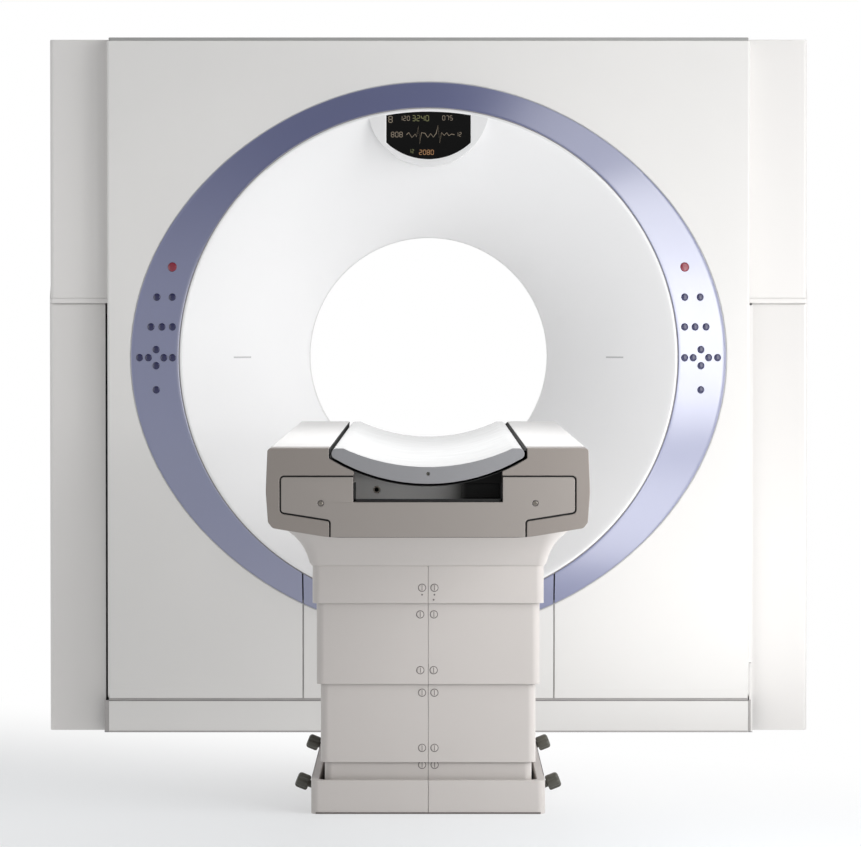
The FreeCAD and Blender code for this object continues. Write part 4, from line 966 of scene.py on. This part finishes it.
def display():
    """The display's lit digits and its pulse trace, on the glass."""
    bar = flat_bar("digit_bar", *DIGIT_BAR)
    for row, (text, x, z, height, finish) in enumerate(DISPLAY_TEXT):
        digits = set_out(f"display_digits_{row}", bar, list(digit_bars(text, x, z, height)), finish, height)
        carried(digits, "tilt")
    discard(bar)
    points = [Vector((x, TRACE_Y, ISO.z + TRACE_Z + z)) for x, z in BEATS]
    carried(drawn("display_trace", points, TRACE_R, AMBER), "tilt")


def flat_bar(name, length, depth, width):
    """A thin bar along X, to set out."""
    bm = bmesh.new()
    bmesh.ops.create_cube(bm, size=1)
    for vert in bm.verts:
        vert.co = Vector((vert.co.x * length, vert.co.y * depth, vert.co.z * width))
    return shaped(name, bm, PAINT)


# ---- table and pedestal


def refinish(node, finish, depths):
    """Gives a finish of its own to a node's faces that look to the viewer between two depths."""
    made = bpy.data.objects[f"{node}_skin"]
    made.data.materials.append(finish)
    near, far = (TABLE_FRONT + depth for depth in depths)
    for face in made.data.polygons:
        if near < face.center.y < far and face.normal.y < -0.3:
            face.material_index = len(made.data.materials) - 1


def slot_windows():
    """The frosted windows behind the light slots, a little inside the funnel's face."""
    play_ends, play_sides = SLOT_WINDOW_PLAY
    half = SLOT_H / 2 - play_sides
    bm = bmesh.new()
    for side in (-1, 1):
        rows = []
        for k in range(SLOT_WINDOW_STEPS + 1):
            radius = SLOT_START_R + play_ends + (SLOT_LENGTH - 2 * play_ends) * k / SLOT_WINDOW_STEPS
            near = -funnel_depth(radius) + SLOT_SETBACK
            far = near + SLOT_WINDOW_THICKNESS
            corners = ((near, -half), (near, half), (far, half), (far, -half))
            rows.append([Vector((side * radius, y, ISO.z + z)) for y, z in corners])
        tube(bm, rows)
    carried(shaped("slot_windows", bm, FROST), "tilt")


def table_faces():
    """The tabletop's end in a painted grey shade, the recess's back and its hatch's lid with a painted shade that
    fades to black along X, and the painted shadow line round the end panel.
    """
    # the tabletop's end face turns grey: painted shade
    refinish("table_board", BOARD_END_SHADE, BOARD_END_DEPTHS)
    # the recess's back and the hatch's lid: a painted shade that fades to black along X
    refinish("table_trough", painted_shade_fade(RECESS, "X", RECESS_SHADE_SPAN), RECESS_BACK_DEPTHS)
    strips("hatch_lid", TABLE_FRONT, HATCH_LID, RECESS, "lift")
    # the end cap's faces round the end panel in near black: a painted shadow line
    refinish("table_end_cap", SHADE_BLACK, CAP_EDGE_DEPTHS)


def fittings():
    """The socket beside the recess's hatch and the plug in the tabletop's end."""
    place = along(Vector(SOCKET_AT), (0, -1, 0))
    carried(turned("recess_socket", SOCKET_SECTION, 32, place, SCREW, True), "lift")
    place = along(Vector(BOARD_PLUG_AT), (0, -1, 0))
    carried(turned("board_plug", BOARD_PLUG_SECTION, 24, place, RUBBER), "tabletop")


def strips(name, front, boxes, finish, body):
    """Straight strips, each from its ranges of X, of the depth behind a front plane and of Z."""
    bm = bmesh.new()
    for x, depths, z in boxes:
        y = [front + depth for depth in depths]
        bmesh.ops.create_cube(bm, size=1)
        for vert in bm.verts[-8:]:
            vert.co = Vector((a + (b - a) * (share + 0.5) for (a, b), share in zip((x, y, z), vert.co)))
    carried(shaped(name, bm, finish), body)


def seals():
    """The strips in the joints of the gantry's front, dark strips of painted shade along the recess's edges, and
    dark strips at the floor under the kick panels and the plinth as a painted contact shadow.
    """
    plinth_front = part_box("pedestal_plinth")[0].y
    strips("seam_seals", FRONT_Y, SEAM_SEALS, SEAL, "tilt")
    strips("kick_seals", FRONT_Y, KICK_SEALS, SEAL, "base")
    strips("stand_filler", FRONT_Y, STAND_FILLERS, COLUMN_PAINT, "base")
    strips("cover_filler", FRONT_Y, COVER_FILLER, COLUMN_PAINT, "tilt")
    strips("lower_edge_trim", FRONT_Y, EDGE_TRIM, PAINT, "tilt")
    strips("under_seal", FRONT_Y, UNDER_SEAL, SEAL, "tilt")
    # painted shade along the recess's edges
    strips("recess_seal", TABLE_FRONT, RECESS_EDGE_SHADE, SHADE_BLACK, "lift")
    # this strip and the next: dark strips at the floor, a painted contact shadow
    strips("plinth_joint", plinth_front, PLINTH_CONTACT_SHADE, GROOVE, "base")
    strips("kick_joint", FRONT_Y, KICK_CONTACT_SHADE, SEAL, "base")


def channel_lining():
    """The dark strip that lines the tabletop's channel: painted shade in the gaps beside the tabletop."""
    rows = []
    for radius in LINING_RADII:
        row = []
        reach = math.asin((BOARD_HALF_W + LINING_BESIDE) / radius)
        for k in range(LINING_STEPS + 1):
            a = reach * (2 * k / LINING_STEPS - 1)
            row.append((radius * math.sin(a), BOARD_CENTRE_Z - radius * math.cos(a)))
        half, top = BOARD_HALF_W + radius - BOARD_UNDER_R, TROUGH_TOP - LINING_SHORT
        rows.append([(-half, top), *row[:-1], (half, top), row[-1]])  # folds back at the right
    ends = (TABLE_FRONT + LINING_SHORT, TABLE_REAR - LINING_SHORT)
    bm = bmesh.new()
    tube(bm, [[Vector((x, y, z)) for x, z in rows[0] + rows[1][::-1]] for y in ends])
    carried(shaped("channel_lining", bm, SHADE_BLACK), "lift")


def pedestal_plugs():
    """Pairs of quarter-turn plugs beside the covers' seam, each in a dark groove with a slot across."""
    head = pattern_shape("plug_head", PLUG_SECTION, 32)
    groove = pattern_shape("plug_ring", COLLAR_SECTION, 32, True)
    slot = flat_bar("plug_slot", *PLUG_SLOT_SIZE)
    kinds = [("plugs", head, PLUG), ("plug_grooves", groove, GROOVE), ("plug_slots", slot, GROOVE)]
    for node, (y, rows) in PLUG_ROWS.items():
        spots = [(Vector((x, y, z)), FRONTWARD_TURN) for z, left, right in rows for x in (left, right)]
        for part, shape, finish in kinds:
            carried(set_out(f"{node}_{part}", shape, spots, finish), BODY_OF[node])
    node = "pedestal_cover_top"
    dimple = pattern_shape("dimple", DIMPLE_SECTION, 16)
    spots = [(Vector((x, PLUG_ROWS[node][0], z)), FRONTWARD_TURN) for x, z in DIMPLES]
    carried(set_out(f"{node}_dimples", dimple, spots, GROOVE), BODY_OF[node])
    discard(head, groove, slot, dimple)


def panel_screws():
    """The two screws that hold the end panel."""
    head = pattern_shape("screw_head", SCREW_SECTION, 24)
    washer = pattern_shape("screw_cup", SCREW_CUP_SECTION, 32, True)
    spots = [(Vector(point), FRONTWARD_TURN) for point in PANEL_SCREWS_AT]
    carried(set_out("end_panel_screws", head, spots, SCREW), "lift")
    carried(set_out("end_panel_cups", washer, spots, GROOVE), "lift")
    discard(head, washer)


def foot_switches():
    """Black fluted knobs on their slanting stems."""
    for node, middle, facing in pressed("foot_switch"):
        mouth = Vector((math.copysign(SWITCH_MOUTH_X, middle.x), middle.y, SWITCH_MOUTH_Z))
        place = along(mouth, facing)
        knob = turned(f"{node}_knob", KNOB_SECTION, KNOB_STEPS, place, RUBBER)
        for vert in knob.data.vertices:
            spot = place.inverted() @ vert.co
            if spot.z > FLUTED_ABOVE and spot.xy.length > FLUTED_OUTSIDE:
                flute = max(0.0, math.cos(FLUTES * math.atan2(spot.y, spot.x))) ** 2
                spot.xy *= 1 - FLUTE_DEPTH * flute
                vert.co = place @ spot
        stand_for(knob, node)


# ---- studio


def floor():
    """A pale floor that fades to white behind the gantry and to the right, a painted pool of light."""
    made = bpy.data.materials.new("studio_floor_light_pool")
    made.use_nodes = True
    nodes, link = made.node_tree.nodes, made.node_tree.links.new
    shader = nodes["Principled BSDF"]
    shader.inputs["Base Color"].default_value = FLOOR_COLOUR
    shader.inputs["Roughness"].default_value = 0.6
    split = nodes.new("ShaderNodeSeparateXYZ")
    link(nodes.new("ShaderNodeTexCoord").outputs["Object"], split.inputs["Vector"])
    slant = nodes.new("ShaderNodeMath")
    slant.operation = "MULTIPLY_ADD"
    slant.inputs[1].default_value = FLOOR_FADE_SLANT
    link(split.outputs["X"], slant.inputs[0])
    link(split.outputs["Y"], slant.inputs[2])
    # painted light: more glowing white towards the back and the right
    fade = ranged(made, slant.outputs["Value"], FLOOR_FADE, (FLOOR_FADE_LEAST, 1), smooth=True)
    glows = (FLOOR_GLOW_LEFT, FLOOR_GLOW_RIGHT)
    glow_here = ranged(made, split.outputs["X"], FLOOR_GLOW_SPAN, glows, smooth=True)
    # white to the camera, a glow of its own as a source of light
    strength = ranged(made, nodes.new("ShaderNodeLightPath").outputs["Is Camera Ray"], (0, 1))
    link(glow_here, strength.node.inputs["To Min"])
    lit = nodes.new("ShaderNodeEmission")
    lit.inputs["Color"].default_value = WHITE
    link(strength, lit.inputs["Strength"])
    mix = nodes.new("ShaderNodeMixShader")
    link(fade, mix.inputs["Fac"])
    link(shader.outputs["BSDF"], mix.inputs[1])
    link(lit.outputs["Emission"], mix.inputs[2])
    link(mix.outputs["Shader"], nodes["Material Output"].inputs["Surface"])
    bm = bmesh.new()
    add_sheet(bm, FLOOR_SIZE, FLOOR_SIZE, FLOOR_Z)
    shaped("floor", bm, made)
    bm = bmesh.new()
    for sheet in SHADES:
        add_sheet(bm, *sheet)
    shade = material("shaded_floor", (0.1, 0.1, 0.1), 0.7, drift=0.1)
    shaped("shaded_floor", bm, shade)


def add_sheet(bm, half_w, half_d, z):
    """A flat rectangle round the middle of the floor."""
    bmesh.ops.create_grid(bm, x_segments=1, y_segments=1, size=1)
    for vert in bm.verts[-4:]:
        vert.co = Vector((vert.co.x * half_w, vert.co.y * half_d, z))


def area_light(name, place, aim, size, power):
    data = bpy.data.lights.new(name, "AREA")
    data.shape = "RECTANGLE"
    data.size, data.size_y = size
    data.energy = power
    lamp = bpy.data.objects.new(name, data)
    lamp.location = place
    lamp.rotation_euler = (Vector(aim) - Vector(place)).to_track_quat("-Z", "Y").to_euler()
    lamp.visible_camera = False
    bpy.context.scene.collection.objects.link(lamp)


def studio():
    """White all round for the camera; its light is weak from above and strong from behind."""
    world = bpy.data.worlds.new("studio")
    bpy.context.scene.world = world
    world.use_nodes = True
    nodes, link = world.node_tree.nodes, world.node_tree.links.new
    white = nodes["Background"]
    white.inputs["Strength"].default_value = 1.0
    white.inputs["Color"].default_value = WHITE
    dim = nodes.new("ShaderNodeBackground")
    dim.inputs["Color"].default_value = WHITE
    way = nodes.new("ShaderNodeSeparateXYZ")
    link(nodes.new("ShaderNodeTexCoord").outputs["Generated"], way.inputs["Vector"])
    level = ranged(world, way.outputs["Z"], (0.15, 0.75), (SKY_LEVEL, SKY_TOP))
    back = ranged(world, way.outputs["Y"], (0.0, 0.5), (0.0, SKY_BACK))
    total = nodes.new("ShaderNodeMath")
    link(level, total.inputs[0])
    link(back, total.inputs[1])
    link(total.outputs["Value"], dim.inputs["Strength"])
    ray = nodes.new("ShaderNodeLightPath")
    mix = nodes.new("ShaderNodeMixShader")
    link(ray.outputs["Is Camera Ray"], mix.inputs["Fac"])
    link(dim.outputs["Background"], mix.inputs[1])
    link(white.outputs["Background"], mix.inputs[2])
    link(mix.outputs["Shader"], nodes["World Output"].inputs["Surface"])
    for lamp in LAMPS:
        area_light(*lamp)
    bpy.context.scene.view_settings.view_transform = "Standard"


def camera():
    """The photograph's camera."""
    data = bpy.data.cameras.new("camera")
    data.lens = LENS_MM
    data.sensor_width = SENSOR_MM
    eye = bpy.data.objects.new("camera", data)
    eye.location = EYE
    eye.rotation_euler = (math.radians(90 - LOOKS_DOWN), 0, 0)
    bpy.context.scene.collection.objects.link(eye)
    bpy.context.scene.camera = eye


# ---- the whole scanner


SKINS = {  # nodes shown in their own form, and how far their edges are rounded
    "front_cover": 0.0012, "service_panel": 0.0012, "side_cover_left": 0.0015,
    "side_cover_right": 0.0015, "stand_cover_left": 0.0012, "stand_cover_right": 0.0012,
    "kick_panels": 0.001, "top_cover": 0.0015, "table_trough": 0.0012, "table_end_cap": 0.0014,
    "end_panel": 0.0011, "table_board": 0.001, "pedestal_cover_top": 0.001,
    "pedestal_cover_upper": 0.001, "pedestal_cover_middle": 0.001, "pedestal_cover_lower": 0.001,
    "pedestal_plinth": 0.0015, "display_screen": 0.0003, "rear_cover": 0.0015, "scan_window": 0,
}


def paint_nodes():
    """The finish of each CAD node that is shown as it is."""
    for node, made in frame["nodes"].items():
        made.data.materials.clear()
        made.data.materials.append(finish_of(node))


def main():
    camera()
    studio()
    floor()
    paint_nodes()
    for node, rounding in SKINS.items():
        skin(node, rounding)
    control_ring()
    keys()
    front_funnel()
    slot_windows()
    display()
    table_faces()
    channel_lining()
    fittings()
    groove_seals()
    seals()
    pedestal_plugs()
    panel_screws()
    foot_switches()


main()
